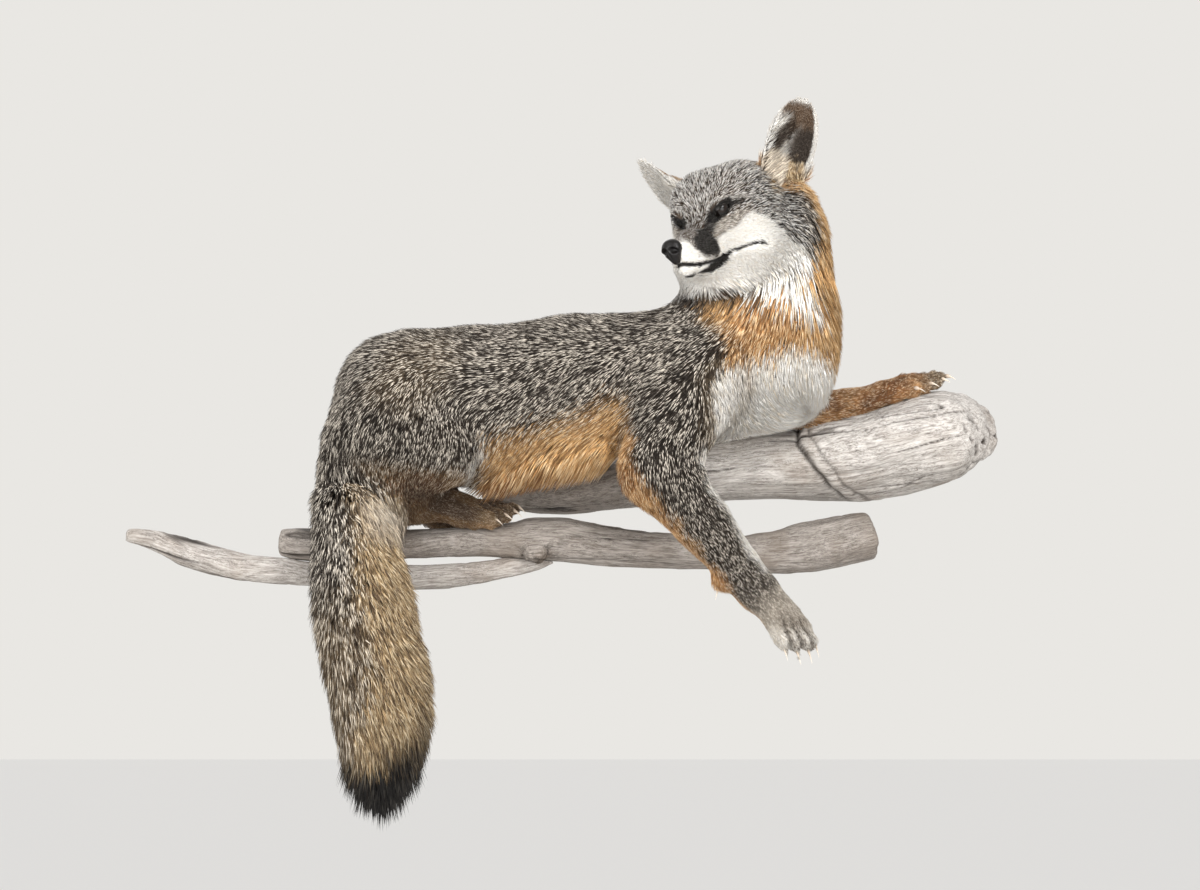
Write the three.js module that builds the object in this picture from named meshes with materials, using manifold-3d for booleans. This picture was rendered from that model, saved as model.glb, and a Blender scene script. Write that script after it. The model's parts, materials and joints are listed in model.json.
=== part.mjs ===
// A gray fox at rest on driftwood that is fixed to a wall: life size, in millimetres.
// +X runs along the trunk to the chest, +Y into the wall and +Z up. The origin lies on
// the flat back of the upper log, in the plane of the wall. Left and right are the fox's.

import * as THREE from 'three';
import Module from 'manifold-3d';
import { mergeVertices } from 'three/addons/utils/BufferGeometryUtils.js';

const wasm = await Module();
wasm.setup();

const at = (x, y, z) => new THREE.Vector3(x, y, z);
const degrees = THREE.MathUtils.degToRad;

// ---- Driving dimensions ----

const openGap = 0.4; // left between pieces that meet
const cutGap = 1; // the width of a thin cut that parts one form
const shortestEdge = 0.15; // edges shorter than this are drawn together

// Spacing of the grids on which each form's surface is found.
const gridCell = { trunk: 26, neck: 20.5, head: 9.8, foreleg: 14, hindleg: 17.5, paw: 8.5, knot: 6.5 };

const trunk = {
  pelvis: at(-194, -116, 62),
  loin: at(-140, -112, 66),
  ribs: at(-60, -112, 72),
  withers: at(28, -112, 83),
  chest: at(90, -106, 100),
  tailRoot: at(-233, -120, 10),
  bellyRear: at(-136, -122, 32),
  bellyFore: at(-68, -120, 52),
  bellyRadius: 42,
  pelvisRadius: 56,
  loinRadius: 55,
  ribsRadius: 59,
  withersRadius: 55,
  chestRadius: 60,
  tailRootRadius: 35,
  softness: 16,
};

const neck = {
  base: at(91, -102, 128),
  middle: at(96, -98, 160),
  nape: at(98, -95, 206),
  throat: at(62, -122, 158),
  baseRadius: 58,
  middleRadius: 53,
  napeRadius: 47,
  throatRadius: 38,
  shoulderCut: at(92, -100, 118), // the plane where the neck leaves the trunk
  shoulderCutTilt: 14, // degrees up towards the back
  softness: 12,
};

// The head has a frame of its own: X out of the muzzle, Y to the fox's left, Z to the crown.
const head = {
  noseTip: at(13, -207, 167),
  yaw: -126.6, // degrees the muzzle is turned from +X: back over the right shoulder
  pitch: 17, // muzzle down
  roll: 5.4, // left side up
  crown: { centre: at(-92, 16, 27), radii: at(36, 31, 31) }, // one on each side
  brow: { centre: at(-66, 0, 15), radii: at(22, 26, 20) },
  muzzle: { tip: at(-11, 0, -1), root: at(-50, 0, 2), tipRadius: 8.5, rootRadius: 15.5 },
  upperLips: { centre: at(-42, 0, -7), radii: at(27, 16, 10) },
  jaw: { tip: at(-17, 0, -16), root: at(-65, 0, -20), tipRadius: 7, rootRadius: 15 },
  cheek: { centre: at(-86, 28, -9), radii: at(29, 25, 27) }, // one on each side
  throatRuff: { centre: at(-100, 0, -28), radii: at(36, 44, 30) },
  neckCut: at(-104, 0, -6),
  neckCutTilt: 62,
  softness: 9,
};

const eye = { radius: 7.6, ahead: -56, aside: 18.2, above: 21, socketRadius: 8.2 };

const nosePad = { ahead: -3.5, above: 1, radii: at(7.5, 8.6, 8.8) };

const ear = {
  height: 65,
  width: 47,
  thickness: 4,
  tipThickness: 1.4,
  fullness: 0.6, // how late the outline narrows to the tip
  rootCup: 1.3, // radians that each half is rolled through at the root
  tipCup: 0.35, // and at the tip
  rows: 7,
  columns: 5,
  left: { root: at(-114, 46, 32), lean: at(-0.17, 0.43, 0.89), facing: at(0.92, 0.38, 0.03) },
  right: { root: at(-112, -38, 38), lean: at(-0.2, -0.82, 0.54), facing: at(0.86, -0.37, -0.46) },
};

const tail = {
  rootCut: -8, // height of the level cut where the tail leaves the trunk
  path: [at(-240, -120, 24), at(-230, -136, -42), at(-224, -142, -84), at(-218, -143, -120),
    at(-212, -142, -158), at(-209, -138, -196), at(-210, -133, -230), at(-208, -129, -264)],
  radii: [32, 39, 46, 46, 43, 38, 28, 3],
  sides: 12,
  rings: 12,
};

const forelegRight = {
  shoulder: at(52, -138, 92),
  upperArm: at(24, -152, 52),
  elbow: at(4, -166, 4),
  forearm: at(40, -172, -40),
  wrist: at(78, -172, -88),
  radii: [36, 35, 31, 21.5, 16.5],
  rootCut: { point: at(0, -140, 0), outwards: at(0, -1, 0) },
  paw: {
    knuckle: at(98, -171, -108),
    tip: at(112, -168, -131),
    side: at(0.9, 0.42, 0.08),
    spread: 14,
    radius: 13,
  },
};

const forelegLeft = {
  shoulder: at(96, -80, 74),
  upperArm: at(112, -76, 66),
  elbow: at(130, -66, 60),
  forearm: at(160, -60, 64),
  wrist: at(190, -58, 73),
  radii: [26, 23, 19, 14, 12.5],
  rootCut: { point: at(108, 0, 0), outwards: at(1, 0, 0) },
  paw: {
    knuckle: at(212, -62, 80),
    tip: at(232, -63, 85),
    side: at(0.75, 0.62, 0.34),
    spread: 20,
    radius: 12,
  },
};

const hindlegRight = {
  hip: at(-198, -136, 70),
  thigh: at(-207, -132, 40),
  knee: at(-166, -148, 24),
  hock: at(-206, -98, -18),
  instep: at(-160, -90, -20),
  hipRadius: 38,
  thighRadius: 46,
  kneeRadius: 31,
  hockRadius: 16,
  instepRadius: 13,
  rootCut: { point: at(0, -125, 78), outwards: at(0, -1, -1) },
  paw: {
    knuckle: at(-136, -91, -22),
    tip: at(-118, -92, -24),
    side: at(0.58, 0.7, 0.36),
    spread: 15,
    radius: 12,
  },
};

const hindlegLeft = {
  hip: at(-197, -98, 74),
  thigh: at(-204, -92, 44),
  knee: at(-170, -76, 26),
  hock: at(-210, -58, -12),
  instep: at(-186, -50, -20),
  hipRadius: 31,
  thighRadius: 42,
  kneeRadius: 28,
  hockRadius: 15,
  instepRadius: 12,
  rootCut: { point: at(0, -98, 74), outwards: at(0, 1, -1) },
  paw: {
    knuckle: at(-164, -48, -24),
    tip: at(-147, -47, -27),
    side: at(0, 1, 0),
    spread: 12,
    radius: 11,
  },
};

const legSoftness = { foreleg: 8, hindleg: 17.5, palm: 5, toes: 4 };

const claw = { length: 9, radius: 2, droop: 0.5, rooted: 0.3, taper: [1, 0.7, 0.2] };

const logUpper = {
  path: [at(-138, -22, -2), at(-100, -25, -4), at(-66, -27, -3), at(-20, -31, 6),
    at(30, -37, 15), at(92, -42, 20), at(140, -43, 21), at(184, -43, 26),
    at(226, -44, 37), at(258, -44, 43), at(287, -44, 42)],
  heights: [10, 17, 20, 23, 27, 30, 32, 35, 40, 38, 14],
  depths: [14, 26, 34, 40, 46, 50, 50, 52, 52, 48, 16],
  sides: 14,
  rings: 16,
  gnarl: 0.06,
};

const branchMiddle = {
  path: [at(-300, -76, -47), at(-276, -77, -50), at(-236, -78, -52), at(-168, -79, -48),
    at(-120, -78, -46), at(-84, -77, -45), at(-40, -76, -50), at(40, -72, -56),
    at(96, -66, -56), at(140, -60, -50), at(184, -57, -41)],
  heights: [11, 15, 13, 12.5, 14, 17.5, 16.5, 14, 18, 22, 21],
  depths: [10, 14, 13, 13, 15, 18, 17, 15, 19, 23, 22],
  sides: 10,
  rings: 17,
  gnarl: 0.05,
};

const branchThin = {
  path: [at(-425, -74, -42), at(-400, -75, -46), at(-372, -76, -57), at(-330, -77, -68), at(-276, -78, -73),
    at(-200, -79, -77), at(-140, -79, -73), at(-100, -78, -66), at(-74, -77, -60)],
  heights: [6, 9, 13, 12, 10.5, 11, 10, 8, 3],
  depths: [6, 8, 11, 10, 10, 10, 9, 8, 3],
  sides: 8,
  rings: 13,
  gnarl: 0.05,
};

const knot = { centre: at(-92, -92, -58), radii: at(12, 9, 9) };

// ---- Shapes as distance fields: below zero inside ----

// Two balls and the cone between them.
function roundCone(a, b, radiusA, radiusB) {
  const axis = b.clone().sub(a);
  const lengthSquared = axis.lengthSq();
  const taper = radiusA - radiusB;
  const slant = lengthSquared - taper * taper;
  return (p) => {
    const fromA = p.clone().sub(a);
    const y = fromA.dot(axis);
    const z = y - lengthSquared;
    const acrossSquared = fromA.multiplyScalar(lengthSquared).addScaledVector(axis, -y).lengthSq();
    const edge = Math.sign(taper) * taper * taper * acrossSquared;
    if (Math.sign(z) * slant * z * z * lengthSquared > edge) {
      return Math.sqrt(acrossSquared + z * z * lengthSquared) / lengthSquared - radiusB;
    }
    if (Math.sign(y) * slant * y * y * lengthSquared < edge) {
      return Math.sqrt(acrossSquared + y * y * lengthSquared) / lengthSquared - radiusA;
    }
    return (Math.sqrt((acrossSquared * slant) / lengthSquared) + y * taper) / lengthSquared - radiusA;
  };
}

function ellipsoid({ centre, radii }) {
  return (p) => {
    const reach = p.clone().sub(centre).divide(radii);
    const slope = reach.clone().divide(radii).length();
    const size = reach.length();
    return (size * (size - 1)) / Math.max(slope, 1e-6);
  };
}

// The union of several fields, with fillets as wide as the softness.
function blend(softness, fields) {
  return (p) => {
    let distance = fields[0](p);
    for (const field of fields.slice(1)) {
      const next = field(p);
      const overlap = Math.max(softness - Math.abs(distance - next), 0) / softness;
      distance = Math.min(distance, next) - (overlap * overlap * softness) / 4;
    }
    return distance;
  };
}

function chain(softness, points, radii) {
  const links = points.slice(1).map((point, i) => roundCone(points[i], point, radii[i], radii[i + 1]));
  return blend(softness, links);
}

function inFrame(frame, field) {
  const inverse = frame.clone().invert();
  return (p) => field(p.clone().applyMatrix4(inverse));
}

// ---- Solids ----

function solidFrom(positions, triangles) {
  const mesh = new wasm.Mesh({
    numProp: 3,
    vertProperties: Float32Array.from(positions),
    triVerts: Uint32Array.from(triangles),
  });
  return new wasm.Manifold(mesh);
}

// A field's surface inside a box: one point in each grid cell that the surface crosses,
// moved onto the surface, and one quad round each crossed grid edge.
function solidOfField(field, low, high, cell) {
  const count = high.clone().sub(low).divideScalar(cell).ceil().addScalar(1);
  const [nx, ny, nz] = count.toArray();
  const gridIndex = (i, j, k) => i + nx * (j + ny * k);
  const values = new Float64Array(nx * ny * nz);
  const corner = (i, j, k) => at(i, j, k).multiplyScalar(cell).add(low);
  for (let k = 0; k < nz; k++) {
    for (let j = 0; j < ny; j++) {
      for (let i = 0; i < nx; i++) {
        const onRim = i * j * k === 0 || i === nx - 1 || j === ny - 1 || k === nz - 1;
        const value = field(corner(i, j, k));
        values[gridIndex(i, j, k)] = onRim ? Math.max(value, 0.01 * cell) : value;
      }
    }
  }

  const cubeEdges = [];
  for (let a = 0; a < 8; a++) {
    for (const bit of [1, 2, 4]) {
      if (!(a & bit)) cubeEdges.push([a, a | bit]);
    }
  }
  const offset = (c) => [c & 1, (c >> 1) & 1, (c >> 2) & 1];

  const pointOfCell = new Map();
  const positions = [];
  for (let k = 0; k < nz - 1; k++) {
    for (let j = 0; j < ny - 1; j++) {
      for (let i = 0; i < nx - 1; i++) {
        const mean = at(0, 0, 0);
        let crossings = 0;
        for (const [a, b] of cubeEdges) {
          const [ai, aj, ak] = offset(a);
          const [bi, bj, bk] = offset(b);
          const valueA = values[gridIndex(i + ai, j + aj, k + ak)];
          const valueB = values[gridIndex(i + bi, j + bj, k + bk)];
          if (valueA < 0 === valueB < 0) continue;
          const from = corner(i + ai, j + aj, k + ak);
          mean.add(from.lerp(corner(i + bi, j + bj, k + bk), valueA / (valueA - valueB)));
          crossings += 1;
        }
        if (!crossings) continue;
        const point = ontoSurface(field, mean.divideScalar(crossings), cell);
        pointOfCell.set(gridIndex(i, j, k), positions.length / 3);
        positions.push(point.x, point.y, point.z);
      }
    }
  }

  const triangles = [];
  const stride = [1, nx, nx * ny];
  for (let k = 0; k < nz - 1; k++) {
    for (let j = 0; j < ny - 1; j++) {
      for (let i = 0; i < nx - 1; i++) {
        const here = gridIndex(i, j, k);
        for (let axis = 0; axis < 3; axis++) {
          const inside = values[here] < 0;
          if (inside === values[here + stride[axis]] < 0) continue;
          const u = stride[(axis + 1) % 3];
          const v = stride[(axis + 2) % 3];
          const quad = [here - u - v, here - v, here, here - u].map((c) => pointOfCell.get(c));
          if (!inside) quad.reverse();
          triangles.push(quad[0], quad[1], quad[2], quad[0], quad[2], quad[3]);
        }
      }
    }
  }
  return solidFrom(positions, triangles);
}

// Steps along the field's slope to where it is zero, no further than half a cell.
function ontoSurface(field, start, cell) {
  const point = start.clone();
  const step = 0.05 * cell;
  for (let round = 0; round < 3; round++) {
    const value = field(point);
    const slope = at(
      field(point.clone().setX(point.x + step)) - value,
      field(point.clone().setY(point.y + step)) - value,
      field(point.clone().setZ(point.z + step)) - value,
    ).divideScalar(step);
    point.addScaledVector(slope, -value / Math.max(slope.lengthSq(), 0.2));
  }
  const moved = point.sub(start).clampLength(0, cell / 2);
  return moved.add(start);
}

// A skin over rings of equally many points, with ladder-shaped ends.
function loft(rings) {
  const around = rings[0].length;
  const positions = rings.flat().flatMap((p) => p.toArray());
  const triangles = [];
  for (let r = 0; r < rings.length - 1; r++) {
    for (let s = 0; s < around; s++) {
      const a = r * around + s;
      const b = r * around + ((s + 1) % around);
      triangles.push(a, b, b + around, a, b + around, a + around);
    }
  }
  const lastRing = (rings.length - 1) * around;
  for (let s = 0; s < around / 2 - 1; s++) {
    const across = around - 1 - s;
    triangles.push(s, across, across - 1, s, across - 1, s + 1);
    triangles.push(lastRing + s, lastRing + across - 1, lastRing + across);
    triangles.push(lastRing + s, lastRing + s + 1, lastRing + across - 1);
  }
  const solid = solidFrom(positions, triangles);
  if (solid.volume() > 0) return solid;
  return solidFrom(positions, triangles.reverse());
}

// A value between the listed ones, eased like the path that they belong to.
function alongList(values, t) {
  const curve = new THREE.CatmullRomCurve3(values.map((value) => at(value, 0, 0)));
  return curve.getPoint(t).x;
}

// A bent rod of oval section: heights run up and depths run across it.
function rod({ path, heights, depths, sides, rings, gnarl = 0, up = at(0, 0, 1) }) {
  const curve = new THREE.CatmullRomCurve3(path);
  const sections = [];
  for (let r = 0; r <= rings; r++) {
    const t = r / rings;
    const centre = curve.getPoint(t);
    const along = curve.getTangent(t);
    const across = along.clone().cross(up).normalize();
    const raised = across.clone().cross(along).normalize();
    const height = alongList(heights, t);
    const depth = alongList(depths, t);
    const section = [];
    for (let s = 0; s < sides; s++) {
      const angle = ((s + 0.5) / sides) * 2 * Math.PI;
      const bump = 1 + gnarl * (Math.sin(2 * angle + 9 * t) + Math.sin(3 * angle - 17 * t));
      const point = centre.clone();
      point.addScaledVector(across, Math.cos(angle) * depth * bump);
      point.addScaledVector(raised, Math.sin(angle) * height * bump);
      section.push(point);
    }
    sections.push(section);
  }
  return loft(sections);
}

// The solid with each of its faces moved out by a distance, for cutting its neighbours.
function grown(solid, distance) {
  const mesh = solid.getMesh();
  const geometry = new THREE.BufferGeometry();
  geometry.setAttribute('position', new THREE.BufferAttribute(positionsOf(mesh), 3));
  geometry.setIndex(Array.from(mesh.triVerts));
  const merged = mergeVertices(geometry, 1e-4);
  const corners = merged.attributes.position;
  const index = merged.index.array;
  const normalsAt = Array.from({ length: corners.count }, () => []);
  const face = new THREE.Triangle();
  for (let i = 0; i < index.length; i += 3) {
    face.setFromAttributeAndIndices(corners, index[i], index[i + 1], index[i + 2]);
    if (face.getArea() < 1e-3) continue;
    const normal = face.getNormal(at(0, 0, 0));
    for (const corner of index.slice(i, i + 3)) {
      if (normalsAt[corner].every((known) => known.dot(normal) < 0.97)) normalsAt[corner].push(normal);
    }
  }
  const moved = [];
  for (let i = 0; i < corners.count; i++) {
    const outwards = at(0, 0, 0);
    for (const normal of normalsAt[i]) outwards.add(normal);
    outwards.normalize();
    const least = Math.min(...normalsAt[i].map((normal) => normal.dot(outwards)), 1);
    const point = at(0, 0, 0).fromBufferAttribute(corners, i);
    moved.push(...point.addScaledVector(outwards, distance / Math.max(least, 0.35)).toArray());
  }
  return solidFrom(moved, index);
}

function positionsOf(mesh) {
  const positions = new Float32Array(mesh.numVert * 3);
  for (let i = 0; i < mesh.numVert; i++) {
    positions.set(mesh.vertProperties.subarray(i * mesh.numProp, i * mesh.numProp + 3), i * 3);
  }
  return positions;
}

// The solid without the tiny edges and the folded-flat faces that cutting leaves.
function welded(solid) {
  const mesh = solid.getMesh();
  const positions = positionsOf(mesh);
  const corner = (i) => at(0, 0, 0).fromArray(positions, 3 * i);
  const joined = Array.from({ length: mesh.numVert }, (_, i) => i);
  const leader = (i) => {
    let first = i;
    while (joined[first] !== first) first = joined[first];
    return first;
  };
  const triangles = [];
  for (let i = 0; i < mesh.triVerts.length; i += 3) triangles.push(Array.from(mesh.triVerts.slice(i, i + 3)));
  for (const triangle of triangles) {
    triangle.forEach((from, k) => {
      const to = triangle[(k + 1) % 3];
      if (corner(from).distanceTo(corner(to)) < shortestEdge) {
        joined[Math.max(leader(from), leader(to))] = Math.min(leader(from), leader(to));
      }
    });
  }
  const faces = new Map();
  for (const triangle of triangles) {
    const face = triangle.map(leader);
    if (new Set(face).size < 3) continue;
    const key = [...face].sort((a, b) => a - b).join();
    if (faces.has(key)) faces.delete(key);
    else faces.set(key, face);
  }
  return solidFrom(positions, [...faces.values()].flat());
}

function largestPiece(solid) {
  return solid.decompose().sort((a, b) => b.volume() - a.volume())[0];
}

// Puts a solid in the model, in one piece, without the room that is already taken.
const solids = {};
const taken = [];

function place(name, solid) {
  let rest = solid;
  for (const room of taken) rest = rest.subtract(room);
  solids[name] = largestPiece(welded(largestPiece(rest)));
  taken.push(grown(solid, openGap));
}

// The two sides of a plane, with the gap between them: first the side it points to.
function parted(solid, point, normal) {
  const unit = normal.clone().normalize();
  const distance = unit.dot(point);
  const ahead = solid.trimByPlane(unit.toArray(), distance + cutGap / 2);
  const behind = solid.trimByPlane(unit.clone().negate().toArray(), cutGap / 2 - distance);
  return { ahead, behind };
}

// ---- Head ----

const headFrame = new THREE.Matrix4().makeRotationFromEuler(
  new THREE.Euler(degrees(head.roll), degrees(head.pitch), degrees(head.yaw), 'ZYX'),
).setPosition(head.noseTip);

const headField = inFrame(headFrame, blend(head.softness, [
  ...onBothSides(head.crown),
  ellipsoid(head.brow),
  taperedRod(head.muzzle),
  ellipsoid(head.upperLips),
  taperedRod(head.jaw),
  ...onBothSides(head.cheek),
  ellipsoid(head.throatRuff),
]));

const bothSides = [['left', 1], ['right', -1]];

function onBothSides({ centre, radii }) {
  const opposite = centre.clone().setY(-centre.y);
  return [ellipsoid({ centre, radii }), ellipsoid({ centre: opposite, radii })];
}

function taperedRod({ tip, root, tipRadius, rootRadius }) {
  return roundCone(tip, root, tipRadius, rootRadius);
}

const inHead = (x, y, z) => at(x, y, z).applyMatrix4(headFrame);

function eyeball(side, radius) {
  const ball = new THREE.SphereGeometry(radius, 10, 8).rotateX(Math.PI / 2);
  const centre = inHead(eye.ahead, side * eye.aside, eye.above);
  return solidOfGeometry(ball.translate(centre.x, centre.y, centre.z));
}

function solidOfGeometry(geometry) {
  geometry.deleteAttribute('normal');
  geometry.deleteAttribute('uv');
  const merged = mergeVertices(geometry, 1e-4);
  return solidFrom(merged.attributes.position.array, merged.index.array);
}

function noseSolid() {
  const pad = new THREE.SphereGeometry(1, 10, 8).rotateZ(Math.PI / 2);
  pad.scale(...nosePad.radii.toArray());
  pad.translate(nosePad.ahead, 0, nosePad.above).applyMatrix4(headFrame);
  return solidOfGeometry(pad);
}

// A leaf-shaped shell, rolled into a cup at its root and open towards its facing.
function earSolid({ root, lean, facing }) {
  const up = lean.clone().normalize();
  const across = facing.clone().cross(up).normalize();
  const front = up.clone().cross(across).normalize();
  const topRow = 0.985; // the last row stops short of the point
  const rimThinning = 0.6;
  const rings = [];
  for (let r = 0; r <= ear.rows; r++) {
    const t = (topRow * r) / ear.rows;
    const halfWidth = (ear.width / 2) * (1 - t) ** ear.fullness * (1 + 0.95 * t);
    const roll = THREE.MathUtils.lerp(ear.rootCup, ear.tipCup, t);
    const radius = halfWidth / roll;
    const wall = THREE.MathUtils.lerp(ear.thickness, ear.tipThickness, t);
    const pointAt = (s, inwards) => {
      const angle = s * roll;
      const reach = radius - inwards * wall * (1 - rimThinning * s * s);
      const point = root.clone().addScaledVector(up, ear.height * t);
      point.addScaledVector(across, reach * Math.sin(angle));
      return point.addScaledVector(front, radius - reach * Math.cos(angle)).applyMatrix4(headFrame);
    };
    const ring = [];
    for (let c = 0; c <= ear.columns; c++) ring.push(pointAt((2 * c) / ear.columns - 1, 0));
    for (let c = ear.columns; c >= 0; c--) ring.push(pointAt((2 * c) / ear.columns - 1, 1));
    rings.push(ring);
  }
  return loft(rings);
}

// ---- Trunk and neck ----

const bodyField = blend(trunk.softness, [
  roundCone(trunk.pelvis, trunk.loin, trunk.pelvisRadius, trunk.loinRadius),
  roundCone(trunk.loin, trunk.ribs, trunk.loinRadius, trunk.ribsRadius),
  roundCone(trunk.ribs, trunk.withers, trunk.ribsRadius, trunk.withersRadius),
  roundCone(trunk.withers, trunk.chest, trunk.withersRadius, trunk.chestRadius),
  roundCone(trunk.pelvis, trunk.tailRoot, trunk.pelvisRadius, trunk.tailRootRadius),
  roundCone(trunk.bellyRear, trunk.bellyFore, trunk.bellyRadius, trunk.bellyRadius),
  roundCone(trunk.chest, neck.base, trunk.chestRadius, neck.baseRadius),
  roundCone(neck.base, neck.middle, neck.baseRadius, neck.middleRadius),
  roundCone(neck.middle, neck.nape, neck.middleRadius, neck.napeRadius),
  roundCone(neck.throat, neck.nape, neck.throatRadius, neck.napeRadius * 0.8),
]);

const wholeField = blend(neck.softness, [bodyField, headField]);

// ---- Legs ----

const toes = {
  places: [-1, -0.36, 0.36, 1], // across the paw, as shares of its spread
  rootSpread: 0.6,
  shortening: 0.2, // of the outer toes
  rootRadius: 0.62, // shares of the paw's radius
  endRadius: 0.5,
};

function toePath(paw, share) {
  const { knuckle, tip, side, spread } = paw;
  const across = side.clone().normalize().multiplyScalar(spread * share);
  const ahead = tip.clone().sub(knuckle);
  const root = knuckle.clone().addScaledVector(across, toes.rootSpread);
  const end = knuckle.clone().add(across).addScaledVector(ahead, 1 - toes.shortening * share * share);
  return { root, end, ahead: ahead.normalize() };
}

function toeFields(paw) {
  return toes.places.map((share) => {
    const { root, end } = toePath(paw, share);
    return roundCone(root, end, paw.radius * toes.rootRadius, paw.radius * toes.endRadius);
  });
}

// A claw that bends down from the end of a toe.
function clawSolid(paw, share) {
  const { end, ahead } = toePath(paw, share);
  const down = at(0, 0, -1);
  const path = [0, 0.6, 1].map((t) => {
    const point = end.clone().addScaledVector(ahead, paw.radius * claw.rooted + claw.length * t);
    return point.addScaledVector(down, claw.length * claw.droop * t * t);
  });
  const radii = claw.taper.map((part) => part * claw.radius);
  return rod({ path, heights: radii, depths: radii, sides: 6, rings: 2, up: paw.side });
}

// The upright box that a paw fills, from its wrist to past its claws.
function pawRoom(wrist, paw, margin) {
  const length = 70;
  const width = 2 * (paw.spread + paw.radius) + 6;
  const box = new THREE.BoxGeometry(length, width, 2 * paw.radius + 10);
  box.translate(length / 2 - margin, 0, 0);
  const along = paw.knuckle.clone().sub(wrist).normalize();
  const across = paw.side.clone().addScaledVector(along, -paw.side.dot(along)).normalize();
  const frame = new THREE.Matrix4().makeBasis(along, across, along.clone().cross(across));
  return solidOfGeometry(box.applyMatrix4(frame.setPosition(wrist)));
}

// The box round some points, grown by a margin.
function boxRound(points, margin) {
  const box = new THREE.Box3().setFromPoints(points).expandByScalar(margin);
  return [box.min, box.max];
}

function legSolids(legField, cell, wrist, wristRadius, paw, points, rootCut) {
  const palm = roundCone(wrist, paw.knuckle, wristRadius, paw.radius);
  const legAndPalm = blend(legSoftness.palm, [legField, palm]);
  const legBox = boxRound([...points, paw.knuckle], 80);
  const wholeLeg = solidOfField(legAndPalm, ...legBox, cell);
  const legWithoutPaw = wholeLeg.subtract(pawRoom(wrist, paw, cutGap));
  const leg = parted(legWithoutPaw, rootCut.point, rootCut.outwards).ahead;
  const pawBox = boxRound([wrist, paw.tip], 34);
  const pawAndLeg = blend(legSoftness.toes, [legAndPalm, ...toeFields(paw)]);
  let pawSolid = solidOfField(pawAndLeg, ...pawBox, gridCell.paw).intersect(pawRoom(wrist, paw, 0));
  for (const share of toes.places) pawSolid = pawSolid.add(clawSolid(paw, share));
  return { leg, paw: pawSolid };
}

function forelegSolids({ shoulder, upperArm, elbow, forearm, wrist, radii, rootCut, paw }) {
  const points = [shoulder, upperArm, elbow, forearm, wrist];
  const field = chain(legSoftness.foreleg, points, radii);
  return legSolids(field, gridCell.foreleg, wrist, radii.at(-1), paw, points, rootCut);
}

function hindlegSolids(leg) {
  const { hip, thigh, knee, hock, instep, rootCut, paw } = leg;
  const field = blend(legSoftness.hindleg, [
    roundCone(hip, thigh, leg.hipRadius, leg.thighRadius),
    roundCone(thigh, knee, leg.thighRadius * 0.8, leg.kneeRadius),
    roundCone(hip, knee, leg.hipRadius * 0.9, leg.kneeRadius),
    roundCone(knee, hock, leg.kneeRadius * 0.8, leg.hockRadius),
    roundCone(hock, instep, leg.hockRadius, leg.instepRadius),
  ]);
  const points = [hip, thigh, knee, hock, instep];
  return legSolids(field, gridCell.hindleg, instep, leg.instepRadius, paw, points, rootCut);
}

// ---- Assembly ----

place('log_upper', rod(logUpper).trimByPlane([0, -1, 0], 0));
const knotSolid = solidOfField(ellipsoid(knot), ...boxRound([knot.centre], 20), gridCell.knot);
place('branch_middle', rod(branchMiddle).add(knotSolid));
place('branch_thin', rod(branchThin));

const legs = {
  right: { fore: forelegSolids(forelegRight), hind: hindlegSolids(hindlegRight) },
  left: { fore: forelegSolids(forelegLeft), hind: hindlegSolids(hindlegLeft) },
};
for (const [side, pair] of Object.entries(legs)) {
  for (const [end, { leg, paw }] of Object.entries(pair)) {
    place(`${end}paw_${side}`, paw);
    place(`${end}leg_${side}`, leg);
  }
}

const up = at(0, 0, 1);
const tailCut = at(0, 0, tail.rootCut);
const tailRod = rod({ ...tail, heights: tail.radii, depths: tail.radii, up: at(0, 1, 0) });
place('tail', parted(tailRod, tailCut, up).behind);

const neckCutPoint = inHead(...head.neckCut.toArray());
const neckCutTilt = degrees(head.neckCutTilt);
const neckCutNormal = at(Math.cos(neckCutTilt), 0, Math.sin(neckCutTilt)).transformDirection(headFrame);
const shoulderTilt = degrees(neck.shoulderCutTilt);
const shoulderNormal = at(Math.sin(shoulderTilt), 0, Math.cos(shoulderTilt));

const trunkWhole = solidOfField(bodyField, at(-310, -215, -60), at(190, 10, 220), gridCell.trunk);
place('trunk', parted(parted(trunkWhole, neck.shoulderCut, shoulderNormal).behind, tailCut, up).ahead);

const neckWhole = solidOfField(wholeField, at(0, -190, 60), at(190, -10, 270), gridCell.neck);
const neckAbove = parted(neckWhole, neck.shoulderCut, shoulderNormal).ahead;
place('neck', parted(neckAbove, neckCutPoint, neckCutNormal).behind);

place('nose', noseSolid());
const headBox = boxRound([inHead(0, 0, 0), inHead(-100, 0, 0)], 75);
let headSolid = solidOfField(wholeField, ...headBox, gridCell.head);
headSolid = parted(headSolid, neckCutPoint, neckCutNormal).ahead;
for (const [side, sign] of bothSides) {
  headSolid = headSolid.subtract(eyeball(sign, eye.socketRadius));
  place(`eye_${side}`, eyeball(sign, eye.radius));
}
place('head', headSolid);
for (const [side] of bothSides) place(`ear_${side}`, earSolid(ear[side]));

// ---- Materials and meshes ----

const finish = {
  coat: { color: '#6b6258', roughness: 0.95 },
  redCoat: { color: '#a4683a', roughness: 0.95 },
  paleCoat: { color: '#cfc4b2', roughness: 0.95 },
  wood: { color: '#9b948d', roughness: 0.85 },
  noseLeather: { color: '#1d1a19', roughness: 0.45 },
  eyeGlass: { color: '#1b0f08', roughness: 0.05 },
};

const finishOfNode = {
  head: 'coat',
  neck: 'redCoat',
  trunk: 'coat',
  tail: 'coat',
  nose: 'noseLeather',
  ear_left: 'paleCoat',
  ear_right: 'paleCoat',
  eye_left: 'eyeGlass',
  eye_right: 'eyeGlass',
  log_upper: 'wood',
  branch_middle: 'wood',
  branch_thin: 'wood',
};

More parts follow.
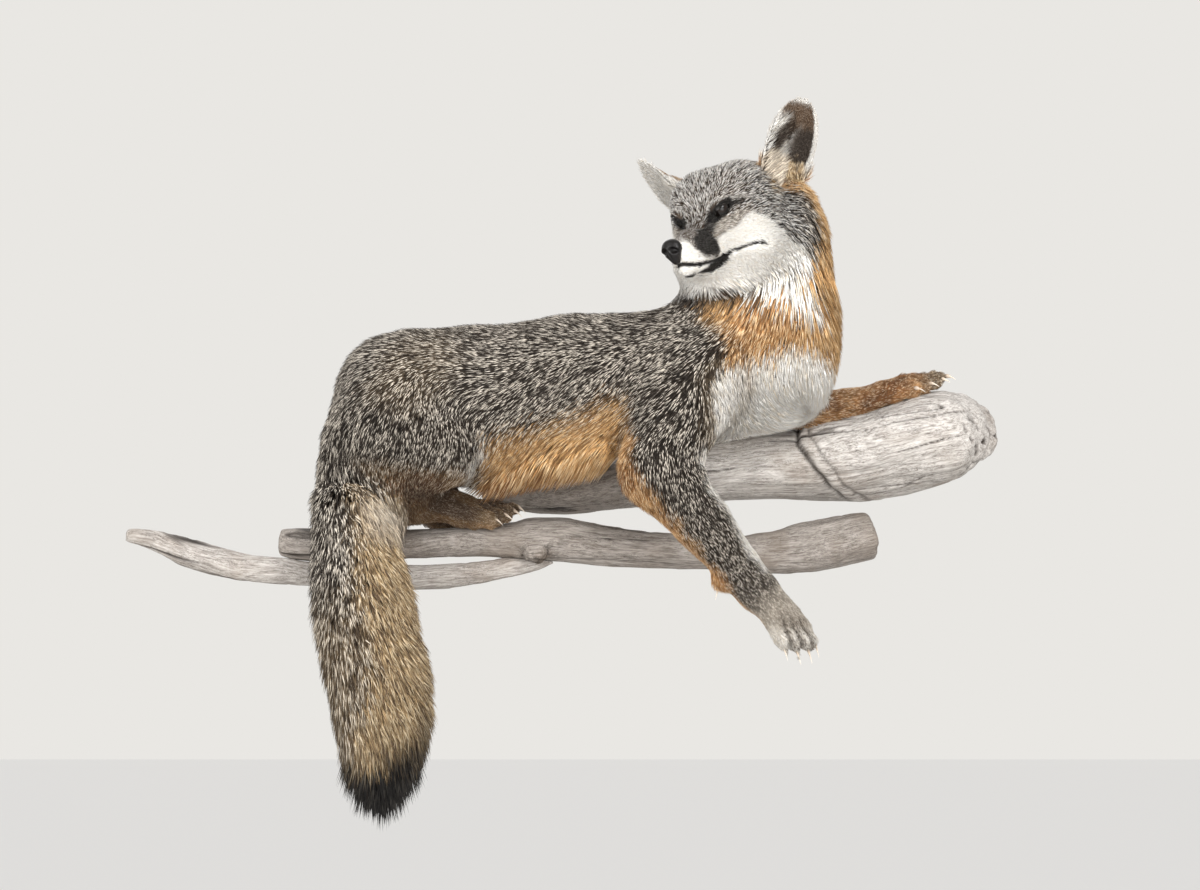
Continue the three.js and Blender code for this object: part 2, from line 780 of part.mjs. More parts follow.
const fox = new THREE.Group();
for (const [name, solid] of Object.entries(solids)) {
  const mesh = solid.getMesh();
  const geometry = new THREE.BufferGeometry();
  geometry.setAttribute('position', new THREE.BufferAttribute(positionsOf(mesh), 3));
  geometry.setIndex(Array.from(mesh.triVerts));
  geometry.computeVertexNormals();
  const look = finish[finishOfNode[name] ?? 'redCoat'];
  const material = new THREE.MeshStandardMaterial({ metalness: 0, ...look });
  const piece = new THREE.Mesh(geometry, material);
  piece.name = name;
  fox.add(piece);
}

export default fox;
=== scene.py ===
import json
import math

import bpy
import numpy as np
from mathutils import Matrix, Vector, kdtree
from mathutils.bvhtree import BVHTree

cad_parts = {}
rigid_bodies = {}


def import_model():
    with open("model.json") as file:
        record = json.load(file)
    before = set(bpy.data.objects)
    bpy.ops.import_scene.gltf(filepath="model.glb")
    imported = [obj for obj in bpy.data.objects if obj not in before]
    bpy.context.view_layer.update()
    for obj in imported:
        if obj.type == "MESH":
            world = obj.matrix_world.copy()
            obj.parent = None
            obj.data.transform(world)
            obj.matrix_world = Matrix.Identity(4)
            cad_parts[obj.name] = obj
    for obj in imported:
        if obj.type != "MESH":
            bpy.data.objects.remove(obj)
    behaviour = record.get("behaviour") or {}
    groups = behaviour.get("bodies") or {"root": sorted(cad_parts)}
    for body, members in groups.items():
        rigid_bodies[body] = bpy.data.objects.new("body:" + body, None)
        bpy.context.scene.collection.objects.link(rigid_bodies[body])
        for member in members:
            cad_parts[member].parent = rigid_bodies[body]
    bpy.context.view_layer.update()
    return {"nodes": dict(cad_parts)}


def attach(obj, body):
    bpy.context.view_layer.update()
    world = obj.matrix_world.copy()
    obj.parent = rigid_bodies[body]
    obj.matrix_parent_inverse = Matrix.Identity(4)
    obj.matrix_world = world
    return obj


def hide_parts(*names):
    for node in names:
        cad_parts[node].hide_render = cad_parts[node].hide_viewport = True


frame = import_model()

rng = np.random.default_rng(7)
milli = 0.001  # settings are in millimetres, meshes in metres

# Helpers


def deselectAll():
    if bpy.context.object and bpy.context.object.mode != "OBJECT":
        bpy.ops.object.mode_set(mode="OBJECT")
    bpy.ops.object.select_all(action="DESELECT")


def makeActive(piece):
    deselectAll()
    piece.select_set(True)
    bpy.context.view_layer.objects.active = piece


def applyModifier(piece, kind, settings):
    makeActive(piece)
    modifier = piece.modifiers.new(kind.title(), kind)
    for key, value in settings.items():
        setattr(modifier, key, value)
    bpy.ops.object.modifier_apply(modifier=modifier.name)


def remeshPiece(piece, size):
    applyModifier(piece, "REMESH", {"mode": "VOXEL", "voxel_size": size * milli})


def smoothPiece(piece, rounds, group=""):
    applyModifier(piece, "SMOOTH", {"factor": 0.5, "iterations": rounds, "vertex_group": group})


def unit(vectors):
    return vectors / np.maximum(np.linalg.norm(vectors, axis=-1, keepdims=True), 1e-9)


def lengths(vectors):
    return np.linalg.norm(vectors, axis=1)


def most(first, *others):
    for other in others:
        first = np.maximum(first, other)
    return first


def bell(values, width):
    return np.exp(-((values / width) ** 2))


def layFlat(ways, ups):
    return unit(ways - ups * (ways * ups).sum(1, keepdims=True))


def ease(low, high, values):
    t = np.clip((values - low) / (high - low), 0, 1)
    return t * t * (3 - 2 * t)


def softNoise(points, size, seed):
    # smooth random values from -1 to 1 that change over about one size
    cells = np.asarray(points) / size + 31.7 * seed
    base = np.floor(cells).astype(np.int64)
    part = cells - base
    part = part * part * (3 - 2 * part)
    total = np.zeros(len(cells))
    for corner in np.ndindex(2, 2, 2):
        key = (base + corner) @ np.array([73856093, 19349663, 83492791])
        key = ((key ^ (key >> 13)) * 1274126177) & 0xFFFFFFFF
        value = ((key ^ (key >> 16)) & 0xFFFF) / 32767.5 - 1
        weight = np.prod(np.where(corner, part, 1 - part), axis=1)
        total += weight * value
    return total


def readAll(items, key, width=3, kind=float):
    values = np.empty(len(items) * width, kind)
    items.foreach_get(key, values)
    return values.reshape(-1, width) if width > 1 else values


def pointsOf(piece):
    return readAll(piece.data.vertices, "co") / milli


def normalsOf(piece):
    return readAll(piece.data.vertex_normals, "vector")


def attributeOf(piece, name):
    return readAll(piece.data.attributes[name].data, "value", 1, np.float32)


def movePoints(piece, points):
    piece.data.vertices.foreach_set("co", (points * milli).ravel())
    piece.data.update()


def setWeights(piece, name, weights):
    group = piece.vertex_groups.new(name=name)
    steps = np.round(weights * 20).astype(int)
    for step in np.unique(steps):
        group.add(np.nonzero(steps == step)[0].tolist(), step / 20, "REPLACE")


def setAttribute(piece, name, values):
    kind = "FLOAT" if values.ndim == 1 else "FLOAT_VECTOR"
    layer = piece.data.attributes.new(name, kind, "POINT")
    layer.data.foreach_set("value" if values.ndim == 1 else "vector", values.astype(np.float32).ravel())


def editAll(piece):
    makeActive(piece)
    bpy.ops.object.mode_set(mode="EDIT")
    bpy.ops.mesh.select_all(action="SELECT")


def doneEditing():
    bpy.ops.object.mode_set(mode="OBJECT")


def faceOutwards(piece):
    editAll(piece)
    bpy.ops.mesh.normals_make_consistent(inside=False)
    doneEditing()


def shadeSmooth(piece):
    piece.data.polygons.foreach_set("use_smooth", np.ones(len(piece.data.polygons), bool))


def newObject(name, data):
    made = bpy.data.objects.new(name, data)
    bpy.context.scene.collection.objects.link(made)
    return made


def finishPiece(piece, material, slot, *replaced):
    piece.data.materials.append(material)
    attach(piece, "root")
    if replaced:
        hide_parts(*replaced)


def copyOfNode(name, swell=0):
    piece = newObject(name + "Copy", frame["nodes"][name].data.copy())
    editAll(piece)
    bpy.ops.mesh.remove_doubles(threshold=1e-5)
    if swell:
        bpy.ops.transform.shrink_fatten(value=swell * milli)
    doneEditing()
    piece.data.materials.clear()
    return piece


def joinPieces(pieces, name):
    makeActive(pieces[0])
    for piece in pieces:
        piece.select_set(True)
    bpy.ops.object.join()
    pieces[0].name = pieces[0].data.name = name
    return pieces[0]


def meshPiece(name, points, faces):
    mesh = bpy.data.meshes.new(name)
    corners = np.asarray(faces, np.int32)
    mesh.vertices.add(len(points))
    mesh.vertices.foreach_set("co", (np.asarray(points) * milli).astype(np.float32).ravel())
    mesh.loops.add(corners.size)
    mesh.loops.foreach_set("vertex_index", corners.ravel())
    mesh.polygons.add(len(corners))
    mesh.polygons.foreach_set("loop_start", np.arange(len(corners), dtype=np.int32) * corners.shape[1])
    mesh.update(calc_edges=True)
    piece = newObject(name, mesh)
    shadeSmooth(piece)
    return piece


def linearColour(code):
    parts = [int(code[i : i + 2], 16) / 255 for i in (1, 3, 5)]
    return [p / 12.92 if p <= 0.04045 else ((p + 0.055) / 1.055) ** 2.4 for p in parts] + [1]


def newMaterial(name, roughness, specular=0.5):
    material = bpy.data.materials.new(name)
    material.use_nodes = True
    tree = material.node_tree
    shader = tree.nodes["Principled BSDF"]
    shader.inputs["Roughness"].default_value = roughness
    shader.inputs["Specular IOR Level"].default_value = specular
    return material, tree, shader


def addNode(tree, kind, sockets=None, output=0, stops=None, **settings):
    # sockets take a value, a hex colour or another node's output; stops are for a colour ramp
    node = tree.nodes.new("ShaderNode" + kind)
    for key, value in settings.items():
        setattr(node, key, value)
    for key, value in (sockets or {}).items():
        if isinstance(value, bpy.types.NodeSocket):
            tree.links.new(value, node.inputs[key])
        else:
            node.inputs[key].default_value = linearColour(value) if isinstance(value, str) else value
    for number, (place, colour) in enumerate(stops or []):
        elements = node.color_ramp.elements
        element = elements[number] if number < len(elements) else elements.new(place)
        element.position = place
        element.color = linearColour(colour) if isinstance(colour, str) else [colour] * 3 + [1]
    return node.outputs[output]


# Camera, light and floor

studio = {
    "target": (-40, -110, 28),
    "distance": 1800,
    "rise": -6,  # degrees: the camera looks a little up
    "lens": 67.5,
    "lamps": {  # place, size in metres and power
        "key": ((900, -2300, 1300), 1.3, 50),
        "front": ((600, -2400, -500), 2.2, 42),
        "fill": ((-1800, -1700, 200), 2.0, 44),
        "back": ((-600, 1700, 1300), 2.0, 30),
    },
    "world": 0.8,
    "worldColour": "#F4F6FA",
    "floorHeight": -1250,
    "floorSize": 60,  # metres
    "floorColour": "#B4B2AF",
    "floorGlow": 0.45,
    "pale": "#E9E7E3",
}


def placeCamera():
    data = bpy.data.cameras.new("camera")
    data.lens, data.sensor_width = studio["lens"], 36
    data.clip_start, data.clip_end = 0.01, 100
    camera = newObject("camera", data)
    rise = math.radians(studio["rise"])
    target = Vector(studio["target"]) * milli
    away = Vector((0, -math.cos(rise), math.sin(rise)))
    camera.location = target + away * studio["distance"] * milli
    camera.rotation_euler = (-away).to_track_quat("-Z", "Y").to_euler()
    bpy.context.scene.camera = camera


def addLamp(name, place, size, power):
    data = bpy.data.lights.new(name + "Lamp", "AREA")
    data.shape, data.size, data.energy = "DISK", size, power
    lamp = newObject(name + "Lamp", data)
    lamp.location = Vector(place) * milli
    toTarget = Vector(studio["target"]) * milli - lamp.location
    lamp.rotation_euler = toTarget.to_track_quat("-Z", "Y").to_euler()


def seenPlainly(tree):
    # 1 for the lens, mirrors and glass
    rays = addNode(tree, "LightPath").node.outputs
    seen = addNode(tree, "Math", {0: rays["Is Camera Ray"], 1: rays["Is Glossy Ray"]}, operation="MAXIMUM")
    return addNode(tree, "Math", {0: seen, 1: rays["Is Transmission Ray"]}, operation="MAXIMUM")


def paleWorld():
    # the lens, mirrors and glass see the pale backdrop; everything else gets soft light
    world = bpy.data.worlds.new("studio")
    bpy.context.scene.world = world
    world.use_nodes = True
    tree = world.node_tree
    soft = tree.nodes["Background"]
    soft.inputs["Color"].default_value = linearColour(studio["worldColour"])
    soft.inputs["Strength"].default_value = studio["world"]
    pale = addNode(tree, "Background", {"Color": studio["pale"], "Strength": 1.0})
    mix = addNode(tree, "MixShader", {0: seenPlainly(tree), 1: soft.outputs[0], 2: pale})
    tree.links.new(mix, tree.nodes["World Output"].inputs["Surface"])


def layFloor():
    deselectAll()
    height = studio["floorHeight"] * milli
    bpy.ops.mesh.primitive_plane_add(size=studio["floorSize"], location=(0, 0, height))
    floor = bpy.context.object
    floor.name = "floor"
    material, tree, shader = newMaterial("paleFloor", 0.9)
    shader.inputs["Base Color"].default_value = linearColour(studio["floorColour"])
    shader.inputs["Emission Color"].default_value = linearColour(studio["pale"])
    glow = addNode(tree, "Math", {0: seenPlainly(tree), 1: studio["floorGlow"]}, operation="MULTIPLY")
    tree.links.new(glow, shader.inputs["Emission Strength"])
    floor.data.materials.append(material)


placeCamera()
for lampName, lampBuild in studio["lamps"].items():
    addLamp(lampName, *lampBuild)
paleWorld()
layFloor()
bpy.context.scene.view_settings.view_transform = "Standard"
print("stage: camera, lamps and floor")

# The fox's build: lines through its limbs, with the coat along them

# the head's own frame: x out of the muzzle, y to the fox's left, z to the crown
headPlace = {"nose": (13, -207, 167), "yaw": -126.6, "pitch": 17, "roll": 5.4}
headTurn = (
    Matrix.Rotation(math.radians(headPlace["yaw"]), 3, "Z")
    @ Matrix.Rotation(math.radians(headPlace["pitch"]), 3, "Y")
    @ Matrix.Rotation(math.radians(headPlace["roll"]), 3, "X")
)
headAxes = np.array(headTurn)
nosePoint = np.array(headPlace["nose"], float)


def fromHead(points):
    return np.asarray(points, float) @ headAxes.T + nosePoint


def toHead(points):
    return (points - nosePoint) @ headAxes


def turnToHead(vectors):
    return vectors @ headAxes


def mirrored(place, side):
    # a place on the fox's left (side 1) or right (side -1) half of the head
    return np.array(place) * [1, side, 1]


# each limb's knots from its root: x, y, z, the limb's radius, the coat's depth over the skin and the
# hair's length; the head's knots are in its own frame
limbKnots = {
    "trunk": [
        (-233, -120, 10, 35, 9, 20), (-194, -116, 62, 56, 7, 15), (-140, -112, 66, 55, 7, 15),
        (-60, -112, 72, 59, 7, 15), (28, -112, 83, 55, 7, 16), (90, -106, 100, 60, 9, 18),
    ],
    "neck": [
        (94, -102, 128, 58, 9, 19), (99, -98, 160, 53, 9, 20), (98, -95, 200, 46, 7, 16),
    ],
    "head": [
        (-12, 0, -6, 11, 0.5, 2.2), (-45, 0, -4, 20, 0.9, 3.2), (-72, 0, 3, 40, 2.6, 5.5),
        (-96, 0, 4, 54, 5.0, 10),
    ],
    "tail": [
        (-240, -120, 24, 32, 10, 20), (-230, -136, -42, 39, 13, 24), (-224, -142, -84, 46, 15, 26),
        (-218, -143, -120, 46, 14, 27), (-212, -142, -158, 43, 12, 28), (-209, -138, -196, 38, 9, 31),
        (-210, -133, -230, 28, 7, 36), (-208, -129, -264, 6, 4, 40),
    ],
    "forelegRight": [
        (52, -138, 92, 36, 7, 15), (24, -152, 52, 35, 7, 15), (4, -166, 4, 31, 6, 13),
        (40, -172, -40, 21.5, 3.2, 9), (78, -172, -88, 16.5, 2.0, 6.5), (98, -171, -108, 13, 1.2, 4.6),
        (113, -168, -132, 12, 0.8, 3.4),
    ],
    "forelegLeft": [
        (96, -80, 74, 26, 7, 15), (112, -76, 66, 23, 5, 12), (130, -66, 60, 19, 3.5, 9),
        (160, -60, 64, 14, 2.0, 7), (190, -58, 73, 12.5, 1.6, 6), (212, -62, 80, 12, 1.2, 4.6),
        (234, -63, 86, 11, 0.8, 3.4),
    ],
    "hindlegRight": [
        (-198, -136, 70, 38, 7, 14), (-207, -132, 40, 46, 7, 14), (-166, -148, 24, 31, 5.5, 12),
        (-206, -98, -18, 16, 3, 8), (-160, -90, -20, 13, 1.8, 6), (-136, -91, -22, 12, 1.2, 4.6),
        (-116, -92, -24, 11, 0.8, 3.4),
    ],
    "hindlegLeft": [
        (-197, -98, 74, 31, 7, 14), (-204, -92, 44, 42, 7, 14), (-170, -76, 26, 28, 5.5, 12),
        (-210, -58, -12, 15, 3, 8), (-186, -50, -20, 12, 1.8, 6), (-164, -48, -24, 11, 1.2, 4.6),
        (-144, -47, -27, 10, 0.8, 3.4),
    ],
}
limbNames = list(limbKnots)
limbs = {}
for name, knots in limbKnots.items():
    knots = np.array(knots, float)
    path = fromHead(knots[:, :3]) if name == "head" else knots[:, :3]
    limbs[name] = {"path": path, "radii": knots[:, 3], "coat": knots[:, 4], "hair": knots[:, 5]}
limbSoftness = 0.07  # how far one limb's coat runs into the next, as a share of the radius


def nearestOnPath(points, path, radii, overrun=0):
    # distance as a share of the path's radius, and how far along it is, in links
    path = np.array(path, float)
    nearest = np.full(len(points), 1e9)
    along = np.zeros(len(points))
    for link in range(len(path) - 1):
        axis = path[link + 1] - path[link]
        t = (points - path[link]) @ axis / (axis @ axis)
        t = np.clip(t, 0 if link else -overrun, 1 if link < len(path) - 2 else 1 + overrun)
        gap = lengths(points - path[link] - t[:, None] * axis)
        share = gap / (radii[link] + (radii[link + 1] - radii[link]) * t)
        closer = share < nearest
        nearest[closer] = share[closer]
        along[closer] = link + t[closer]
    return nearest, along


def alongLimb(points, name):
    return nearestOnPath(points, limbs[name]["path"], limbs[name]["radii"])


def valuesAt(along, knots):
    # a value, or a place, between the knots of a path
    knots = np.array(knots, float)
    if knots.ndim == 1:
        return np.interp(along, range(len(knots)), knots)
    return np.stack([valuesAt(along, column) for column in knots.T], axis=1)


def placeOnFox(points):
    shares, alongs = zip(*(alongLimb(points, name) for name in limbNames))
    shares, alongs = np.array(shares), np.array(alongs)
    weights = np.exp(-(shares - shares.min(0)) / limbSoftness)
    weights /= weights.sum(0)
    place = {"weights": weights, "alongs": alongs, "limb": weights.argmax(0)}
    for value in ("coat", "hair"):
        lists = [valuesAt(alongs[i], limbs[n][value]) for i, n in enumerate(limbNames)]
        place[value] = (np.array(lists) * weights).sum(0)
    return place


def weightOf(place, *names):
    return sum(place["weights"][limbNames.index(name)] for name in names)


def alongOf(place, name):
    return place["alongs"][limbNames.index(name)]


# Lie of the coat

# places on the fox's side, as x and z, and the way its hair runs there, as x and z
bodyLie = np.array([
    (-14, 120, -0.85, -0.5), (12, 94, -0.75, -0.65), (-1, 55, -0.6, -0.8), (38, 107, -0.6, -0.8),
    (65, 107, -0.3, -0.95), (83, 94, 0.1, -1), (136, 87, 0.35, -0.93), (90, 65, 0.9, -0.25),
    (51, 65, 0.7, -0.5), (5, 15, -0.1, -1), (25, -11, 0.45, -0.9), (45, 35, -0.5, -0.8),
    (-134, 106, -1, -0.1), (-87, 111, -1, -0.1), (-122, 77, -0.9, -0.35), (-71, 75, -0.85, -0.45),
    (-122, 47, -0.7, -0.7), (-71, 51, -0.65, -0.75), (-116, 14, -0.35, -0.93), (-56, 20, -0.4, -0.9),
    (-192, 106, -0.8, -0.55), (-214, 77, -0.55, -0.8), (-179, 54, 0.05, -1), (-168, 30, 0.1, -1),
    (-145, 30, 0.35, -0.93), (-145, 7, -0.3, -0.95), (-243, 66, -0.3, -0.95), (-260, 19, -0.3, -0.95),
    (-185, 2, -0.3, -0.9), (-219, -22, 0.9, -0.4), (145, 147, 0.4, -0.9), (130, 219, 0.4, -0.9),
    (109, 123, 0, -1), (80, 160, -0.3, -0.95), (95, 200, -0.1, -1),
])
lieReach = 20  # how far each place's lie holds
# links along each leg from which its hair runs down the leg and not with the body's
legsFreeFrom = {"forelegRight": 1.6, "forelegLeft": 0.4, "hindlegRight": 2.2, "hindlegLeft": 2.2}


def sideLie(points):
    gaps = np.linalg.norm(points[:, None, [0, 2]] - bodyLie[:, :2], axis=2)
    least = gaps.min(1, keepdims=True)
    shares = np.exp(-((gaps - least) * (gaps + least)) / (2 * lieReach**2))
    lie = np.zeros((len(points), 3))
    lie[:, [0, 2]] = unit(shares @ unit(bodyLie[:, 2:]))
    return lie + np.array([-0.22, 0, -0.06])


def limbLie(name, along):
    steps = unit(np.gradient(np.array(limbs[name]["path"], float), axis=0))
    return unit(valuesAt(along, steps))


def headLie(points):
    place = toHead(points)
    aside, high = place[:, 1], place[:, 2]
    back = -1 + 0.45 * ease(-70, -105, place[:, 0]) * ease(12, -20, high)
    behindCheek = ease(-70, -110, place[:, 0]) * ease(15, 35, np.abs(aside))
    down = -0.75 * ease(16, -28, high) - 0.35 * behindCheek
    out = 0.3 * np.tanh(aside / 14) * ease(-10, -50, place[:, 0]) * ease(-110, -80, place[:, 0])
    return np.stack([back, out, down], axis=1) @ headAxes.T


def lieOfCoat(points, normals, place):
    side = sideLie(points)
    lie = side * weightOf(place, "trunk", "neck")[:, None]
    lie += headLie(points) * weightOf(place, "head")[:, None]
    tailAlong = alongOf(place, "tail")
    tailEnd = ease(4.8, 6.0, tailAlong)[:, None]
    tailLie = limbLie("tail", tailAlong) * (1 + tailEnd) + 0.55 * normals + np.array([0.12, 0, 0])
    lie += tailLie * weightOf(place, "tail")[:, None]
    for name, free in legsFreeFrom.items():
        along = alongOf(place, name)
        own = ease(free - 0.5, free + 0.6, along)[:, None]
        lie += (limbLie(name, along) * own + side * (1 - own)) * weightOf(place, name)[:, None]
    lie = layFlat(lie, normals)
    across = np.cross(normals, lie)
    swerve = 0.26 * softNoise(points, 34, 1) + 0.16 * softNoise(points, 11, 2)
    return unit(lie + across * swerve[:, None])


# Markings, the same on the skin and the coat

markNames = ("rust", "deep", "buff", "white", "brown", "black", "spine")

# Outlines on the fox's side, as (x, z)
flankRust = [
    (-136, -40), (-136, 12), (-124, 24), (-100, 30), (-71, 38), (-45, 48), (-28, 56), (-18, 50),
    (-16, 20), (-20, -40),
]
fringeOutline = [(-131, -30), (-131, 2), (-90, 22), (-30, 34), (-18, 20), (-18, -10)]
whiteChest = [
    (48, 66), (54, 78), (72, 84), (92, 91), (110, 98), (128, 96), (146, 84), (158, 70), (160, 10),
    (52, 10), (50, 40),
]
neckBand = [
    (56, 66), (52, 84), (48, 104), (42, 122), (34, 142), (44, 154), (70, 162), (80, 190), (96, 262),
    (175, 262), (175, 60),
]
# painted shade in the fold at the front of the neck, under the chin: the rust there is deeper and browner
neckFoldShade = [(60, 96), (62, 118), (78, 134), (98, 138), (110, 130), (113, 114), (100, 100), (80, 92)]
legRust = [
    (-36, 24), (-27, 22), (-16, 4), (7, -26), (28, -53), (52, -81), (58, -92), (60, -100), (40, -104),
    (10, -66), (-14, -32), (-36, 4),
]
legCream = [
    (36, 14), (44, -10), (58, -34), (74, -64), (82, -76), (90, -70), (72, -38), (60, -8), (56, 16),
]
thighEdge = [(-131, 25), (-129, 18), (-148, -14), (-151, -14), (-136, 8)]
thighTop = [(-225, 60), (-200, 100), (-165, 112), (-150, 95), (-160, 60), (-190, 40)]
thighFoot = [(-196, -2), (-166, -2), (-156, -12), (-160, -20), (-210, -20), (-206, -8)]

# Outlines on the head's own side, as (x, z)
faceWhite = [
    (-4, -12), (-8, 4), (-15, 7), (-17, 1), (-20, -6), (-26, -12), (-41, -14), (-45, -8), (-47, 0),
    (-54, 4), (-59, 6), (-62, 10), (-67, 13), (-72, 12), (-77, 7), (-82, -1), (-94, -13), (-113, -25),
    (-122, -33), (-119, -42), (-109, -50), (-103, -57), (-107, -67), (-110, -75), (-105, -81), (-95, -82),
    (-84, -78), (-79, -68), (-74, -62), (-68, -64), (-64, -57), (-62, -47), (-55, -42), (-36, -38),
    (-20, -31), (-5, -24),
]
greyEdge = (  # where the grey of the head ends and the rust behind it begins: heights, and x there
    [-90, -80, -70, -56, -47, -32, -25, -7, 14, 32, 60],
    [-95, -95, -99, -100, -103, -122, -138, -148, -146, -116, -108],
)
muzzlePatch = [
    (-22, 5), (-19, -3), (-26, -10), (-39, -13), (-44, -9), (-43, -2), (-45, 4), (-44, 10), (-36, 12),
    (-29, 8),
]
eyeLines = [  # black lines that run out of the eye, with how wide they are
    ([(-57, 26, 24.5), (-66, 32, 23.5), (-73, 38, 22)], 3.0),
    ([(-50, 14, 18), (-47, 13, 14), (-43, 12, 9)], 6.4),
]
browLine = [(-55, 19, 28.5), (-60, 25, 28.5), (-67, 33, 27), (-74, 39, 24)]  # pale hairs over the eye
lipLine = [
    (-7, -12.5), (-12, -14), (-24, -16.5), (-46, -15), (-55, -13), (-60, -11), (-65, -10.5), (-69, -14),
]
lowerLip = [
    (-54, -13.4), (-49, -14.6), (-40, -15.5), (-33, -17), (-28, -20.5), (-22, -23), (-13, -22),
    (-11, -25), (-24, -28.5), (-36, -28), (-46, -24.5), (-53, -18),
]
underEye = [(-45, 1), (-48, 12), (-60, 18), (-69, 14), (-62, 11), (-55, 4)]


def gapToLine(points, line):
    gaps = np.full(len(points), 1e9)
    for a, b in zip(line, line[1:]):
        t = np.clip((points - a) @ (b - a) / ((b - a) @ (b - a)), 0, 1)[:, None]
        gaps = np.minimum(gaps, lengths(points - (a + t * (b - a))))
    return gaps


def closeToLine(x, z, line):
    nearest = np.full(len(x), 1e9)
    for (ax, az), (bx, bz) in zip(line, line[1:]):
        dx, dz = bx - ax, bz - az
        t = np.clip(((x - ax) * dx + (z - az) * dz) / (dx * dx + dz * dz), 0, 1)
        nearest = np.minimum(nearest, np.hypot(x - ax - t * dx, z - az - t * dz))
    return nearest


def insideOutline(x, z, outline, soft):
    # 1 inside the outline and 0 outside, with an edge as wide as soft
    closed = [*outline, outline[0]]
    inside = np.zeros(len(x), bool)
    for (ax, az), (bx, bz) in zip(closed, closed[1:]):
        if bz != az:
            crosses = (az > z) != (bz > z)
            inside ^= crosses & (x < ax + (z - az) * (bx - ax) / (bz - az))
    nearest = closeToLine(x, z, closed)
    return ease(-soft, soft, np.where(inside, nearest, -nearest))


